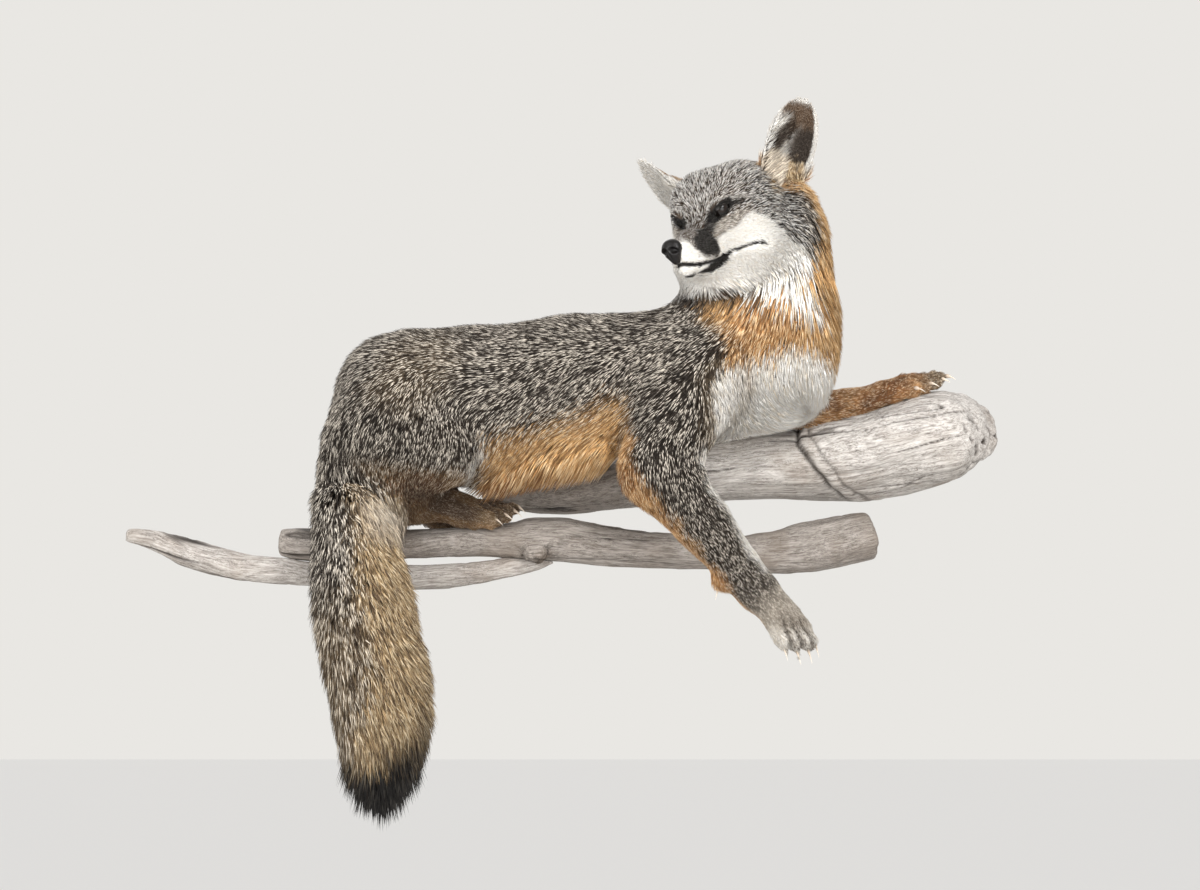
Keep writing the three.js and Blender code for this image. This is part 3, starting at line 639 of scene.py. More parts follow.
def markings(points, normals, place):
    # each mark is from 0 to 1: how far the coat there is rust, deep rust, buff, white, brown or black; deep
    # rust, brown and black also carry painted shade low on the flank, in the neck's fold and between the
    # toes
    wander = 4 * softNoise(points, 12, 3) + 2.5 * softNoise(points, 4.5, 4)
    x, z = points[:, 0] + wander, points[:, 2] + 3 * softNoise(points, 9, 5)
    head = weightOf(place, "head")
    neck = weightOf(place, "neck")
    trunk = weightOf(place, "trunk")
    tail = weightOf(place, "tail")
    body = trunk + neck
    foreRight, foreLeft = weightOf(place, "forelegRight"), weightOf(place, "forelegLeft")
    hind = weightOf(place, "hindlegRight", "hindlegLeft")

    # trunk and neck
    chest = insideOutline(x, z, whiteChest, 5) * most(body, foreRight)
    chestEdge = insideOutline(x, z, whiteChest, 18) * foreRight
    belly = ease(0.8, 0.98, -normals[:, 2]) * trunk * ease(-118, -104, points[:, 1])
    belly *= ease(-150, -120, x)
    rust = insideOutline(x, z, flankRust, 11) * trunk
    rust = most(rust, insideOutline(x, z, flankRust, 5) * foreRight * ease(0, -14, x))
    nape = ease(-0.1, 0.5, normals @ unit(np.array([-0.62, 0.62, 0.3])))
    notNape = 1 - nape * (neck > 0.2)
    band = insideOutline(x, z, neckBand, 5) * most(body * notNape, foreRight * ease(55, 62, x))
    # painted shade: the fold under the chin turns deeper rust and brown
    foldShade = insideOutline(x, z, neckFoldShade, 8) * body * ease(-112, -130, points[:, 1])
    deep = 0.2 + 0.22 * softNoise(points, 14, 6) + 0.5 * foldShade
    # painted shade: the flank's rust is deeper low down, under the belly
    deep += 0.6 * insideOutline(x, z, flankRust, 12) * ease(8, -6, points[:, 2]) - 0.15 * rust

    # legs
    foreAlong = alongOf(place, "forelegRight")
    innerFore = ease(0.35, 0.8, normals @ unit(np.array([-0.6, 0.65, -0.45])))
    rearRust = most(insideOutline(x, z, legRust, 4), innerFore * ease(1.2, 2.0, foreAlong))
    rust = most(rust, rearRust * foreRight * ease(5.3, 4.6, foreAlong))
    white = insideOutline(x, z, legCream, 3.5) * foreRight * 0.9
    farRust = foreLeft * (0.8 + 0.25 * softNoise(points, 5, 7))
    rust = most(rust, farRust * ease(6.2, 5.2, alongOf(place, "forelegLeft")))
    deep += 0.5 * foreLeft + 0.3 * foreRight
    hindAlong = most(alongOf(place, "hindlegRight"), alongOf(place, "hindlegLeft"))
    shank = hind * ease(1.9, 2.7, hindAlong)
    innerThigh = hind * ease(0.3, 0.8, np.abs(normals[:, 2])) * ease(20, 0, points[:, 2])
    brown = most(0.85 * shank, 0.3 * foldShade * (1 - chest))
    rust = most(rust, 0.3 * innerThigh)
    foot = insideOutline(x, z, thighFoot, 6) * (hind + trunk)
    rust = most(rust, 0.35 * foot * ease(-110, -125, points[:, 1]))
    brown = most(brown, 0.6 * foot)
    deep += 0.8 * foot
    edge = insideOutline(x, z, thighEdge, 1.8) * (hind + trunk)
    white = most(white, edge * ease(-118, -128, points[:, 1]))
    groove, toeTips = np.zeros(len(x)), np.zeros(len(x))
    for paw in paws.values():
        toeAlong, across, near = inPaw(points, paw)[:3]
        onPaw = near * weightOf(place, paw["limb"]) * ease(3.6, 4.4, alongOf(place, paw["limb"]))
        groove = most(groove, toeGroove(toeAlong, across) * onPaw)
        toeTips = most(toeTips, ease(0.35, 0.95, toeAlong + 0.12 * softNoise(points, 4, 15)) * onPaw)
    nearPaw = foreRight * ease(3.8, 4.8, foreAlong + 0.3 * softNoise(points, 6, 16))
    white = most(white, (0.3 * nearPaw + 0.4 * toeTips * foreRight) * (1 - groove))
    buffPaws = most(0.35 * nearPaw, 0.3 * toeTips * (hind + foreLeft)) * (1 - groove)
    # painted shade between the toes: the grooves turn brown and black and lose their white and buff; the
    # shank's dark is its own colour
    brown = most(brown, 0.8 * groove)
    toeShadeAndShank = 0.45 * groove + 0.3 * shank * (1 - toeTips)

    # head
    h = toHead(points)
    hx = h[:, 0] + 1.3 * softNoise(points, 5, 8)
    hz = h[:, 2] + 1.3 * softNoise(points, 5, 9)
    aside = np.abs(h[:, 1])
    near = head + neck
    face = insideOutline(hx, hz, faceWhite, 1.6) * near
    browGap = np.minimum(*(gapToLine(h, mirrored(browLine, side)) for side in (1, -1)))
    paleBrow = ease(3.2, 1.4, browGap + 0.5 * softNoise(points, 2.5, 17)) * head
    white = most(white, chest, belly * 0.8, face, 0.35 * paleBrow)
    behindEdge = ease(4, -7, hx - np.interp(hz, *greyEdge))
    band = band * (1 - ease(118, 145, points[:, 2]) * (1 - behindEdge))
    topOfHead = ease(30, 16, aside) * ease(5, 20, hz)
    earBase = ease(27, 36, aside) * ease(18, 28, hz) * ease(-94, -102, hx) * near
    rust = most(rust, band, behindEdge * head * (1 - topOfHead))
    deep -= 0.15 * band
    patch = insideOutline(hx, hz, muzzlePatch, 2.0) * head * ease(3, 7, aside)
    bridge = head * ease(-52, -40, h[:, 0]) * ease(2, 8, hz) * (1 - patch)
    brown = most(brown, 0.75 * bridge, head * 0.25 * ease(-80, -66, h[:, 0]))
    pouch = insideOutline(hx, hz, underEye, 2) * head
    white = most(white, 0.28 * pouch)
    buff = 0.25 * pouch
    buff = most(buff, buffPaws, earBase * 0.9, 0.75 * chestEdge)

    # tail: grey on its upper side, buff on the other, black at the tip
    tailAlong = alongOf(place, "tail")
    sideOfTail = normals @ unit(np.array([0.9, -0.25, 0.0])) + 0.25 * softNoise(points, 16, 10)
    buffTail = ease(-0.2, 0.5, sideOfTail + 1.1 * ease(3.4, 5.6, tailAlong) - 0.1)
    buffTail = most(buffTail, 0.3 * ease(1.5, 3.0, tailAlong))
    buff = most(buff, buffTail * tail * 0.95)
    creamRoot = ease(0.2, 0.7, sideOfTail) * ease(1.4, 0.7, tailAlong) * tail
    white = most(white, 0.42 * creamRoot)
    tipAlong = tailAlong + 0.25 * softNoise(points, 7, 11) + 0.35 * ease(0, 0.8, sideOfTail)
    blackTip = ease(4.85, 5.5, tipAlong)
    ridge = ease(0.82, 0.98, sideOfTail) * ease(3.8, 5.0, tailAlong)
    black = most(blackTip, 0.7 * ridge) * tail
    lipWidth = np.interp(hx, [-72, -60, -50, -10], [0.7, 1.3, 1.9, 1.9])
    offCentre = ease(2, 5, aside + 6 * ease(-24, -14, hx))
    lips = ease(lipWidth, lipWidth * 0.5, closeToLine(hx, hz, lipLine)) * head * offCentre
    lips = most(lips, insideOutline(hx, hz, lowerLip, 1.0) * head * offCentre)
    eyeRing = np.zeros(len(x))
    for side in (1, -1):
        nearEye = lengths(h - mirrored(eyeBuild["centre"], side)) < 18
        eyeRing = most(eyeRing, ease(4.4, 2.6, eyeOpening(h, side)) * nearEye)
        for line, wide in eyeLines:
            gap = gapToLine(h, mirrored(line, side)) + 0.4 * softNoise(points, 2, 14)
            eyeRing = most(eyeRing, 0.9 * ease(wide, wide * 0.5, gap))
    black = most(black, patch * 0.96, 0.5 * bridge, lips, eyeRing * head, toeShadeAndShank)
    buff = most(buff, 0.14 * insideOutline(x, z, thighTop, 12) * (hind + trunk))
    spine = ease(0.55, 0.95, normals[:, 2]) * body
    marks = dict(zip(markNames, (rust, deep, buff, white, brown, black, spine)))
    marks = {name: np.clip(values, 0, 1) for name, values in marks.items()}
    marks["rust"] *= 1 - marks["white"]
    return marks


# Skin

fleshNodes = ["trunk", "neck", "head", "tail"]
for part in ("foreleg", "hindleg", "forepaw", "hindpaw"):
    fleshNodes += [part + "_right", part + "_left"]

skinBuild = {
    "overlap": 0.8,  # flesh copies are swollen by this so that they meet
    "voxel": 3.2,
    "softRounds": 45,
    "fineRounds": 4,
    "lastRounds": 2,
    "sunkRounds": 12,
    "eyeOverlap": 0.5,
    "tailEnd": 0.7,  # links that the tail's flesh stops short of the tip of its coat
}


def refineFaces(piece, chosen):
    makeActive(piece)
    centres = readAll(piece.data.polygons, "center") / milli
    piece.data.vertices.foreach_set("select", np.zeros(len(piece.data.vertices), bool))
    piece.data.edges.foreach_set("select", np.zeros(len(piece.data.edges), bool))
    piece.data.polygons.foreach_set("select", chosen(centres))
    bpy.ops.object.mode_set(mode="EDIT")
    bpy.ops.mesh.select_mode(type="FACE")
    bpy.ops.mesh.subdivide(number_cuts=1)
    bpy.ops.mesh.select_mode(type="VERT")
    doneEditing()


def dropLoosePieces(piece, inside):
    # keeps only what is joined to the point nearest to this place
    nearest = lengths(pointsOf(piece) - inside).argmin()
    editAll(piece)
    bpy.ops.mesh.select_mode(type="VERT")
    bpy.ops.mesh.select_all(action="DESELECT")
    doneEditing()
    piece.data.vertices[int(nearest)].select = True
    bpy.ops.object.mode_set(mode="EDIT")
    bpy.ops.mesh.select_linked()
    bpy.ops.mesh.select_all(action="INVERT")
    bpy.ops.mesh.delete(type="VERT")
    doneEditing()


def aroundHead(centres):
    place = placeOnFox(centres)
    paws = [ease(4.5, 4.6, alongOf(place, n)) * weightOf(place, n) for n in limbNames if "leg" in n]
    return (weightOf(place, "head") > 0.4) | (most(*paws) > 0.5)


def aroundMuzzle(centres):
    h = toHead(centres)
    return (h[:, 0] > -74) & (h[:, 2] < 34) & (h[:, 2] > -36) & (np.abs(h[:, 1]) < 36)


def buildSkin():
    flesh = [copyOfNode(name, skinBuild["overlap"]) for name in fleshNodes]
    flesh += [copyOfNode(name, skinBuild["eyeOverlap"]) for name in ("eye_left", "eye_right")]
    skin = joinPieces(flesh, "skin")
    remeshPiece(skin, skinBuild["voxel"])
    dropLoosePieces(skin, np.array(limbs["trunk"]["path"][2]))
    place = placeOnFox(pointsOf(skin))
    thickness = sum(valuesAt(alongOf(place, n), limbs[n]["radii"]) * weightOf(place, n) for n in limbNames)
    setWeights(skin, "broad", ease(8, 42, thickness))
    smoothPiece(skin, skinBuild["softRounds"], "broad")
    smoothPiece(skin, skinBuild["fineRounds"])
    refineFaces(skin, aroundHead)
    refineFaces(skin, aroundMuzzle)
    smoothPiece(skin, skinBuild["lastRounds"])
    return skin


def sinkUnderCoat(skin):
    points, normals = pointsOf(skin), normalsOf(skin)
    place = placeOnFox(points)
    tail = weightOf(place, "tail")[:, None]
    path = np.array(limbs["tail"]["path"], float)
    along = alongOf(place, "tail")
    toCentre = valuesAt(along, path) - points
    gap = lengths(toCentre)
    slimmer = 7 * ease(0.6, 1.5, along) * ease(4.4, 2.8, along) * np.clip(normals[:, 0], 0, 1)
    pulled = toCentre * np.clip((place["coat"] + slimmer) / most(gap, 1), 0, 0.72)[:, None]
    sunk = -normals * place["coat"][:, None]
    lifted = (path[-2] - path[-1]) * (skinBuild["tailEnd"] * np.clip(along - 5.2, 0, 2) / 1.8)[:, None]
    movePoints(skin, points + (pulled + lifted) * tail + sunk * (1 - tail))
    setWeights(skin, "sunk", ease(3, 9, place["coat"]))
    smoothPiece(skin, skinBuild["sunkRounds"], "sunk")


# Head: sockets, lids, mouth and ears

eyeBuild = {
    "centre": (-56, 18.2, 21),
    "radius": 7.6,
    "gaze": (0.74, 0.62, 0.2),
    "innerCorner": (-47, 13.5, 15.5),
    "outerCorner": (-58, 26.5, 24.5),
    "halfOpening": 2.2,
    "lidThickness": 1.0,
    "lidDepth": 3.0,  # the ball shows this far under the lids
}

# strokes on the head, on both sides: place, reach, and how far the skin moves out (or in)
headStrokes = [
    ((-46, 0, 19), (12, 9, 8), -1.6),  # stop
    ((-60, 17, 33), (11, 8, 7), 2.2),  # brow
    ((-80, 30, 26), (14, 9, 10), -1.5),  # temple
    ((-62, 27, 8), (12, 8, 7), 1.2),  # cheekbone
    ((-48, 16, 9), (10, 6, 5), -1.6),  # hollow under the eye
    ((-36, 12, 2), (14, 6, 7), -0.8),  # side of the muzzle
    ((-22, 9, -7), (11, 6, 6), 1.4),  # whisker pad
    ((-28, 0, 12), (16, 5, 5), 0.9),  # bridge
    ((-44, 12, -22), (22, 8, 7), -0.4),  # lower jaw
    ((-17, 0, -22), (9, 7, 6), 1.2),  # chin
]

lipBuild = {  # the groove between the lips, and how they swell beside it
    "depth": 1.5, "width": 1.3, "fullness": 0.7, "fullAt": 3.2, "fullWidth": 1.8,
}


def eyeAxes(side):
    # the eye's own directions: out along its gaze, along the lids and up across them
    gaze = unit(mirrored(eyeBuild["gaze"], side))
    inner, outer = mirrored(eyeBuild["innerCorner"], side), mirrored(eyeBuild["outerCorner"], side)
    lids = outer - inner
    halfLength = np.linalg.norm(lids) / 2
    lids = unit(lids - gaze * (lids @ gaze))
    upwards = np.cross(gaze, lids) * side
    return gaze, lids, upwards, (outer + inner) / 2, halfLength


def eyeOpening(h, side):
    # below zero inside the almond between the lids, in millimetres
    lids, upwards, middle, halfLength = eyeAxes(side)[1:]
    offset = h - middle
    across, high = offset @ lids, offset @ upwards
    share = np.clip(np.abs(across) / halfLength, 0, 1)
    bow = eyeBuild["halfOpening"] * (1 - share**2.2)
    upper = high - (bow * 0.55 + 0.5)
    lower = -high - bow
    ends = np.abs(across) - halfLength
    return most(upper, lower, ends)


def shapeHead(skin):
    points, normals = pointsOf(skin), normalsOf(skin)
    place = placeOnFox(points)
    onHead = weightOf(place, "head")
    h, hn = toHead(points), turnToHead(normals)
    moved = np.zeros(len(h))
    for centre, reach, push in headStrokes:
        for side in {1, -1} if centre[1] else {1}:
            gap = (h - mirrored(centre, side)) / np.array(reach)
            moved += push * np.exp(-(gap**2).sum(1) * 1.2)
    toLips = closeToLine(h[:, 0], h[:, 2], lipLine)
    outer = np.abs(h[:, 1]) > 3
    moved -= lipBuild["depth"] * bell(toLips, lipBuild["width"]) * outer
    moved += lipBuild["fullness"] * bell(toLips - lipBuild["fullAt"], lipBuild["fullWidth"]) * outer
    h = h + hn * (moved * onHead)[:, None]
    for side in (1, -1):
        gaze = eyeAxes(side)[0]
        centre = mirrored(eyeBuild["centre"], side)
        offset = h - centre
        gap = lengths(offset)
        front = ease(-0.1, 0.25, offset @ gaze / most(gap, 0.1)) * (gap < 16)
        opening = eyeOpening(h, side)
        lid = eyeBuild["radius"] + eyeBuild["lidThickness"] + 0.5 * bell(opening - 1.2, 1.0)
        inside = eyeBuild["radius"] - eyeBuild["lidDepth"]
        wanted = lid + (inside - lid) * ease(0.35, -0.35, opening)
        draped = np.where(opening < 0.6, wanted, most(gap, lid * ease(9, 2, opening)))
        target = gap + (draped - gap) * front
        h = centre + offset * (target / most(gap, 0.1))[:, None]
    movePoints(skin, np.where(onHead[:, None] > 0.3, fromHead(h), points))


ears = {
    "height": 65,
    "width": 47,
    "left": {"root": (-114, 46, 32), "lean": (-0.17, 0.43, 0.89), "facing": (0.92, 0.38, 0.03)},
    "right": {"root": (-112, -38, 38), "lean": (-0.2, -0.82, 0.54), "facing": (0.86, -0.37, -0.46)},
    "smoothing": 2,
    "thinning": -0.35,
    "rooted": 10,  # how far the foot of each ear goes down into the head
}


def earAxes(side):
    lean = unit(np.array(ears[side]["lean"], float))
    across = unit(np.cross(np.array(ears[side]["facing"], float), lean))
    return np.array(ears[side]["root"], float), lean, across, np.cross(lean, across)


def inEar(points, side):
    # how far across the ear a place is, from -1 to 1, and how far up it, from 0 to 1
    root, lean, across, front = earAxes(side)
    offset = toHead(points) - root
    high = offset @ lean / ears["height"]
    share = np.clip(high, 0, 0.985)
    half = ears["width"] / 2 * (1 - share) ** 0.6 * (1 + 0.95 * share)
    roll = 1.3 + (0.35 - 1.3) * share
    turn = np.arctan2(offset @ across, half / roll - offset @ front) / roll
    return turn, high


def addEars(skin):
    copies = []
    for side, number in (("left", 1.0), ("right", 2.0)):
        ear = copyOfNode("ear_" + side, ears["thinning"])
        applyModifier(ear, "SUBSURF", {"levels": ears["smoothing"], "render_levels": ears["smoothing"]})
        points = pointsOf(ear)
        headShell = BVHTree.FromObject(frame["nodes"]["head"], bpy.context.evaluated_depsgraph_get())
        gaps = np.array([headShell.find_nearest(Vector(p * milli))[3] for p in points]) / milli
        lean = unit(np.array(ears[side]["lean"], float)) @ headAxes.T
        movePoints(ear, points - lean * (ears["rooted"] * ease(5, 1, gaps))[:, None])
        setAttribute(ear, "ear", np.full(len(points), number))
        copies.append(ear)
    return joinPieces([skin] + copies, "skin")


paws = {
    "clawsForepawRight": {
        "limb": "forelegRight", "knuckle": (98, -171, -108), "tip": (112, -168, -131),
        "side": (0.9, 0.42, 0.08), "spread": 14, "radius": 13,
    },
    "clawsForepawLeft": {
        "limb": "forelegLeft", "knuckle": (212, -62, 80), "tip": (232, -63, 85),
        "side": (0.75, 0.62, 0.34), "spread": 20, "radius": 12,
    },
    "clawsHindpawRight": {
        "limb": "hindlegRight", "knuckle": (-136, -91, -22), "tip": (-118, -92, -24),
        "side": (0.58, 0.7, 0.36), "spread": 15, "radius": 12,
    },
    "clawsHindpawLeft": {
        "limb": "hindlegLeft", "knuckle": (-164, -48, -24), "tip": (-147, -47, -27),
        "side": (0, 1, 0), "spread": 12, "radius": 11,
    },
}
clawBuild = {
    "length": 9.5, "radius": 2.4, "flatness": 0.7, "droop": 0.6, "rooted": 0.3,
    "rings": (0.3, 0.6, 0.82), "toes": (-1, -0.36, 0.36, 1), "dewClaw": (-0.5, 0, -0.86),
}
toeBuild = {
    "grooves": (-0.68, 0, 0.68), "grooveWidth": 0.13, "depth": 0.26, "notch": 3.5,
    "knuckles": 2.0, "tipRise": 2.8, "settle": 3.4, "length": 60,
}
# behind the near wrist, with the dew claw on it
carpalPad = {"at": (52, -172, -84), "reach": 8, "push": 8, "way": (-0.75, 0, -0.66)}


def inPaw(points, paw):
    # how far from the knuckle to the toe ends a place is, how far across the toes, and if it is near
    knuckle, tip = np.array(paw["knuckle"], float), np.array(paw["tip"], float)
    ahead = unit(tip - knuckle)
    side = np.array(paw["side"], float)
    side = unit(side - ahead * (side @ ahead))
    offset = points - knuckle
    along = offset @ ahead / np.linalg.norm(tip - knuckle)
    # the toes' row leans, so that a toe's own length is measured from its own root
    lean = unit(np.array(paw["side"], float)) @ ahead
    spread = paw["spread"] * (0.62 + 0.38 * np.clip(along, 0, 1))
    across = offset @ side / (spread * math.sqrt(1 - lean * lean))
    along = along - across * lean * paw["spread"] / np.linalg.norm(tip - knuckle)
    near = ease(2.6, 1.9, np.abs(across)) * ease(-1.2, -0.6, along) * (lengths(offset) < toeBuild["length"])
    return along, across, near, ahead


def toeGroove(along, across):
    gap = np.min([np.abs(across - g) for g in toeBuild["grooves"]], axis=0)
    return bell(gap, toeBuild["grooveWidth"]) * ease(-0.1, 0.6, along)


def shapeToes(skin):
    points, normals = pointsOf(skin), normalsOf(skin)
    place = placeOnFox(points)
    for paw in paws.values():
        limb = paw["limb"]
        onPaw = weightOf(place, limb) * ease(3.6, 4.4, alongOf(place, limb))
        along, across, near, ahead = inPaw(points, paw)
        groove = toeGroove(along, across)
        moved = -toeBuild["depth"] * paw["radius"] * groove
        middle = np.abs(across)[:, None] - np.abs(np.array(clawBuild["toes"]))
        onToe = bell(np.abs(middle).min(1), 0.22)
        moved += toeBuild["knuckles"] * onToe * bell(along - 0.15, 0.2)
        moved += toeBuild["tipRise"] * onToe * bell(along - 0.95, 0.2)
        back = -toeBuild["notch"] * groove * ease(0.6, 1.0, along)
        share = (near * onPaw)[:, None]
        points = points + normals * moved[:, None] * share + ahead * back[:, None] * share
        if "hind" in limb:
            points[:, 2] -= toeBuild["settle"] * near * onPaw
    swell = carpalPad["push"] * bell(lengths(points - carpalPad["at"]), carpalPad["reach"])
    points = points + np.array(carpalPad["way"]) * swell[:, None]
    movePoints(skin, points)


skin = buildSkin()
sinkUnderCoat(skin)
shapeHead(skin)
shapeToes(skin)
skin = addEars(skin)
print("stage: skin joined,", len(skin.data.polygons), "faces")


# Coat material

pelt = {
    "darkHair": "#221C17",
    "midHair": "#4B4137",
    "paleBand": "#DBD1C2",
    "gold": "#D6A970",
    "rust": "#B07848",
    "deepRust": "#6F4527",
    "cream": "#DCC9A8",
    "buffHair": "#C3A67C",
    "buffRoot": "#665340",
    "rustRoot": "#5A3C24",
    "rustTip": "#EBD1A8",
    "white": "#F0EDE7",
    "brownHair": "#5E4834",
    "brownPale": "#A38F7C",
    "black": "#0E0B09",
}


def foxCoat():
    # fur of a grey fox: banded guard hair, near black with a pale band, over softer under-wool;
    # it scatters light and has little gloss
    material, tree, shader = newMaterial("foxCoat", 0.62, 0.3)
    names = ("along", "fleck", *markNames)
    marks = {name: addNode(tree, "Attribute", output="Fac", attribute_name=name) for name in names}
    fleck = marks["fleck"]

    # the pale band lies on the outer half of a pale tuft
    bandStops = [(0.56, 0.0), (0.65, 1.0), (0.8, 1.0), (0.92, 0.0)]
    band = addNode(tree, "ValToRGB", {0: marks["along"]}, stops=bandStops)
    onSpine = addNode(tree, "Math", {0: marks["spine"], 1: 0.1}, operation="MULTIPLY")
    paleness = addNode(tree, "Math", {0: fleck, 1: onSpine}, operation="SUBTRACT")
    paleTuft = addNode(tree, "ValToRGB", {0: paleness}, stops=[(0.42, 0.0), (0.6, 1.0)])
    bandShown = addNode(tree, "Math", {0: band, 1: paleTuft}, operation="MULTIPLY")
    warm = addNode(tree, "Mix", {0: marks["deep"], 6: pelt["gold"], 7: pelt["rust"]}, 2, data_type="RGBA")
    deepest = addNode(tree, "ValToRGB", {0: marks["deep"]}, stops=[(0.5, 0.0), (1.0, 1.0)])
    warm = addNode(tree, "Mix", {0: deepest, 6: warm, 7: pelt["deepRust"]}, 2, data_type="RGBA")

    # each kind of hair: its mark, its colour, what its fleck turns it to and how far, and its pale band
    colour = None
    for mark, hair, other, stops, tip, share in (
        (None, pelt["darkHair"], pelt["midHair"], [(0.15, 0.0), (0.6, 0.75)], pelt["paleBand"], 1.0),
        ("brown", pelt["brownHair"], None, None, pelt["brownPale"], 0.8),
        ("buff", pelt["buffRoot"], pelt["buffHair"], [(0.12, 0.0), (0.5, 1.0)], pelt["cream"], 0.8),
        ("rust", warm, pelt["rustRoot"], [(0.05, 0.75), (0.5, 0.0)], pelt["rustTip"], 0.7),
        ("white", pelt["white"], pelt["cream"], [(0.0, 0.6), (0.45, 0.0)], None, 0.0),
        ("black", pelt["black"], None, None, pelt["paleBand"], 0.07),
    ):
        if stops:
            flecked = addNode(tree, "ValToRGB", {0: fleck}, stops=stops)
            hair = addNode(tree, "Mix", {0: flecked, 6: hair, 7: other}, 2, data_type="RGBA")
        if tip:
            banded = addNode(tree, "Math", {0: bandShown, 1: share}, operation="MULTIPLY")
            hair = addNode(tree, "Mix", {0: banded, 6: hair, 7: tip}, 2, data_type="RGBA")
        if mark:
            hair = addNode(tree, "Mix", {0: marks[mark], 6: colour, 7: hair}, 2, data_type="RGBA")
        colour = hair

    # painted shade deep in the coat: hair is darker towards its root, where the tufts shade each other, and
    # white hair less so
    rootShade = addNode(tree, "ValToRGB", {0: marks["along"]}, stops=[(0.0, 0.4), (0.5, 1.0)])
    spared = addNode(tree, "Math", {0: marks["white"], 1: 0.5}, operation="MULTIPLY")
    shade = addNode(tree, "Math", {0: 1.0, 1: spared}, operation="SUBTRACT")
    shaded = {0: shade, 6: colour, 7: rootShade}
    colour = addNode(tree, "Mix", shaded, 2, data_type="RGBA", blend_type="MULTIPLY")
    tree.links.new(colour, shader.inputs["Base Color"])
    return material


coatMaterial = foxCoat()


def earMarkings(points, normals, side):
    # white rim and front hairs, a hollow darkened with painted shade, grey hairs at the tip and a rusty
    # back
    across, high = inEar(points, side)
    inner = ease(-0.15, 0.2, turnToHead(normals) @ earAxes(side)[3])
    jitter = 0.12 * softNoise(points, 5, 20)
    edge = most(most(across, -1.12 * across), high * 0.98)
    rim = ease(0.86, 0.96, edge + jitter * 0.3)
    streaks = softNoise(np.stack([26 * high + 10 * across, 4 * across, 0 * high], axis=1), 3.2, 21)
    frontHairs = inner * ease(-0.35, 0.4, across + jitter) * ease(0.78, 0.58, high)
    base = ease(0.26, 0.08, high + jitter)
    tipHairs = inner * ease(0.54, 0.76, high + jitter)
    white = most(rim * 0.8, frontHairs * ease(0.02, 0.5, streaks) * 0.85)
    white *= ease(0.02, 0.24, high + jitter)
    white = most(white, 0.4 * base * inner * ease(-0.2, 0.4, across))
    # painted shade in the ear's hollow
    hollow = inner * (1 - white) * (1 - base)
    if side == "right":
        white = most(rim * 0.85, inner * 0.68)
        hollow = inner * 0.2
    none = np.zeros(len(points))
    return {
        "rust": (1 - inner) * (0.55 + 0.4 * base) * (1 - white),
        "deep": none + 0.55,
        "buff": base * inner * 0.9,
        "white": white,
        "brown": most(0.8 * (1 - inner), hollow),
        "black": hollow * 0.85 * (1 - 0.65 * tipHairs),
        "spine": none,
    }


def markSkin(skin):
    points, normals = pointsOf(skin), normalsOf(skin)
    place = placeOnFox(points)
    ear = attributeOf(skin, "ear")
    marks = markings(points, normals, place)
    for side, number in (("left", 1), ("right", 2)):
        chosen = np.abs(ear - number) < 0.5
        for name, values in earMarkings(points[chosen], normals[chosen], side).items():
            marks[name][chosen] = values
    for name, values in marks.items():
        setAttribute(skin, name, values)
    place["coat"][ear > 0.5] = 1
    fleck = 0.5 + 0.3 * softNoise(points, 3, 12)
    setAttribute(skin, "fleck", fleck)
    # painted shade: the skin under a deeper coat gets a lower along, which the coat's root shade darkens
    setAttribute(skin, "along", np.clip(0.62 - place["coat"] * 0.05, 0.1, 0.62))
    shadeSmooth(skin)


# Coat

coatBuild = {
    # times that the tufts would cover the skin if they lay flat
    "coverage": {
        "trunk": 12.6, "neck": 13, "head": 6.6, "tail": 22,
        "forelegRight": 6.4, "forelegLeft": 4.4, "hindlegRight": 7.6, "hindlegLeft": 4.6,
    },
    "widthShare": 0.055,  # of the hair's length
    "narrowest": 0.4,
    "widest": 1.5,
    "ringShare": 0.5,  # where a tuft is widest
    "ringReach": 0.86,  # under 1, so that a tuft bows up from its root
    "ringRise": 0.66,
    "rootDepth": 0.8,  # roots start under the skin
    "patch": 0.003,  # each tuft's place on the bake map
    "tuftsInLock": 6,
    "lockShare": 0.4,  # how much of a tuft's shade it has from its lock
    "lockPull": 0.34,  # how far its tip is drawn to the lock's
    "fringeDrop": 0.6,  # how nearly the flank's fringe hangs straight down
    "tailDrop": 0.85,  # and the hair at the tail's end
    "hair": {"ruff": 5, "fringe": 17, "beforeEar": 5, "throat": 12},  # longer there by this
}


def scatterOnSkin(skin, densityOf):
    mesh = skin.data
    mesh.calc_loop_triangles()
    corners = readAll(mesh.loop_triangles, "vertices", 3, np.int32)
    points, normals = pointsOf(skin), normalsOf(skin)
    a, b, c = (points[corners[:, k]] for k in range(3))
    areas = lengths(np.cross(b - a, c - a)) / 2
    share = areas * densityOf[corners].mean(1)
    total = np.cumsum(share)
    count = int(total[-1])
    spots = (np.arange(count) + rng.random(count)) * total[-1] / count
    triangle = np.minimum(np.searchsorted(total, spots), len(corners) - 1)
    first, second = rng.random(count), rng.random(count)
    folded = first + second > 1
    first[folded], second[folded] = 1 - first[folded], 1 - second[folded]
    parts = np.stack([1 - first - second, first, second], axis=1)
    chosenCorners = corners[triangle]
    roots = (points[chosenCorners] * parts[:, :, None]).sum(1)
    ups = unit((normals[chosenCorners] * parts[:, :, None]).sum(1))
    return roots, ups


def bakePlaces(points, name):
    # a place on an unwrap of this limb: round it and along it, both from 0 to 1
    along = alongLimb(points, name)[1]
    axis = limbLie(name, along)
    side = unit(np.cross(axis, np.array([0.3, 1, 0.2])))
    other = np.cross(axis, side)
    out = points - valuesAt(along, limbs[name]["path"])
    angle = np.arctan2((out * other).sum(1), (out * side).sum(1)) / (2 * math.pi) + 0.5
    run = along + 0.02 * (out * axis).sum(1)
    places = np.stack([angle, run], axis=1)
    low, high = places.min(0), places.max(0)
    return (places - low) / (high - low) * (1 - coatBuild["patch"])


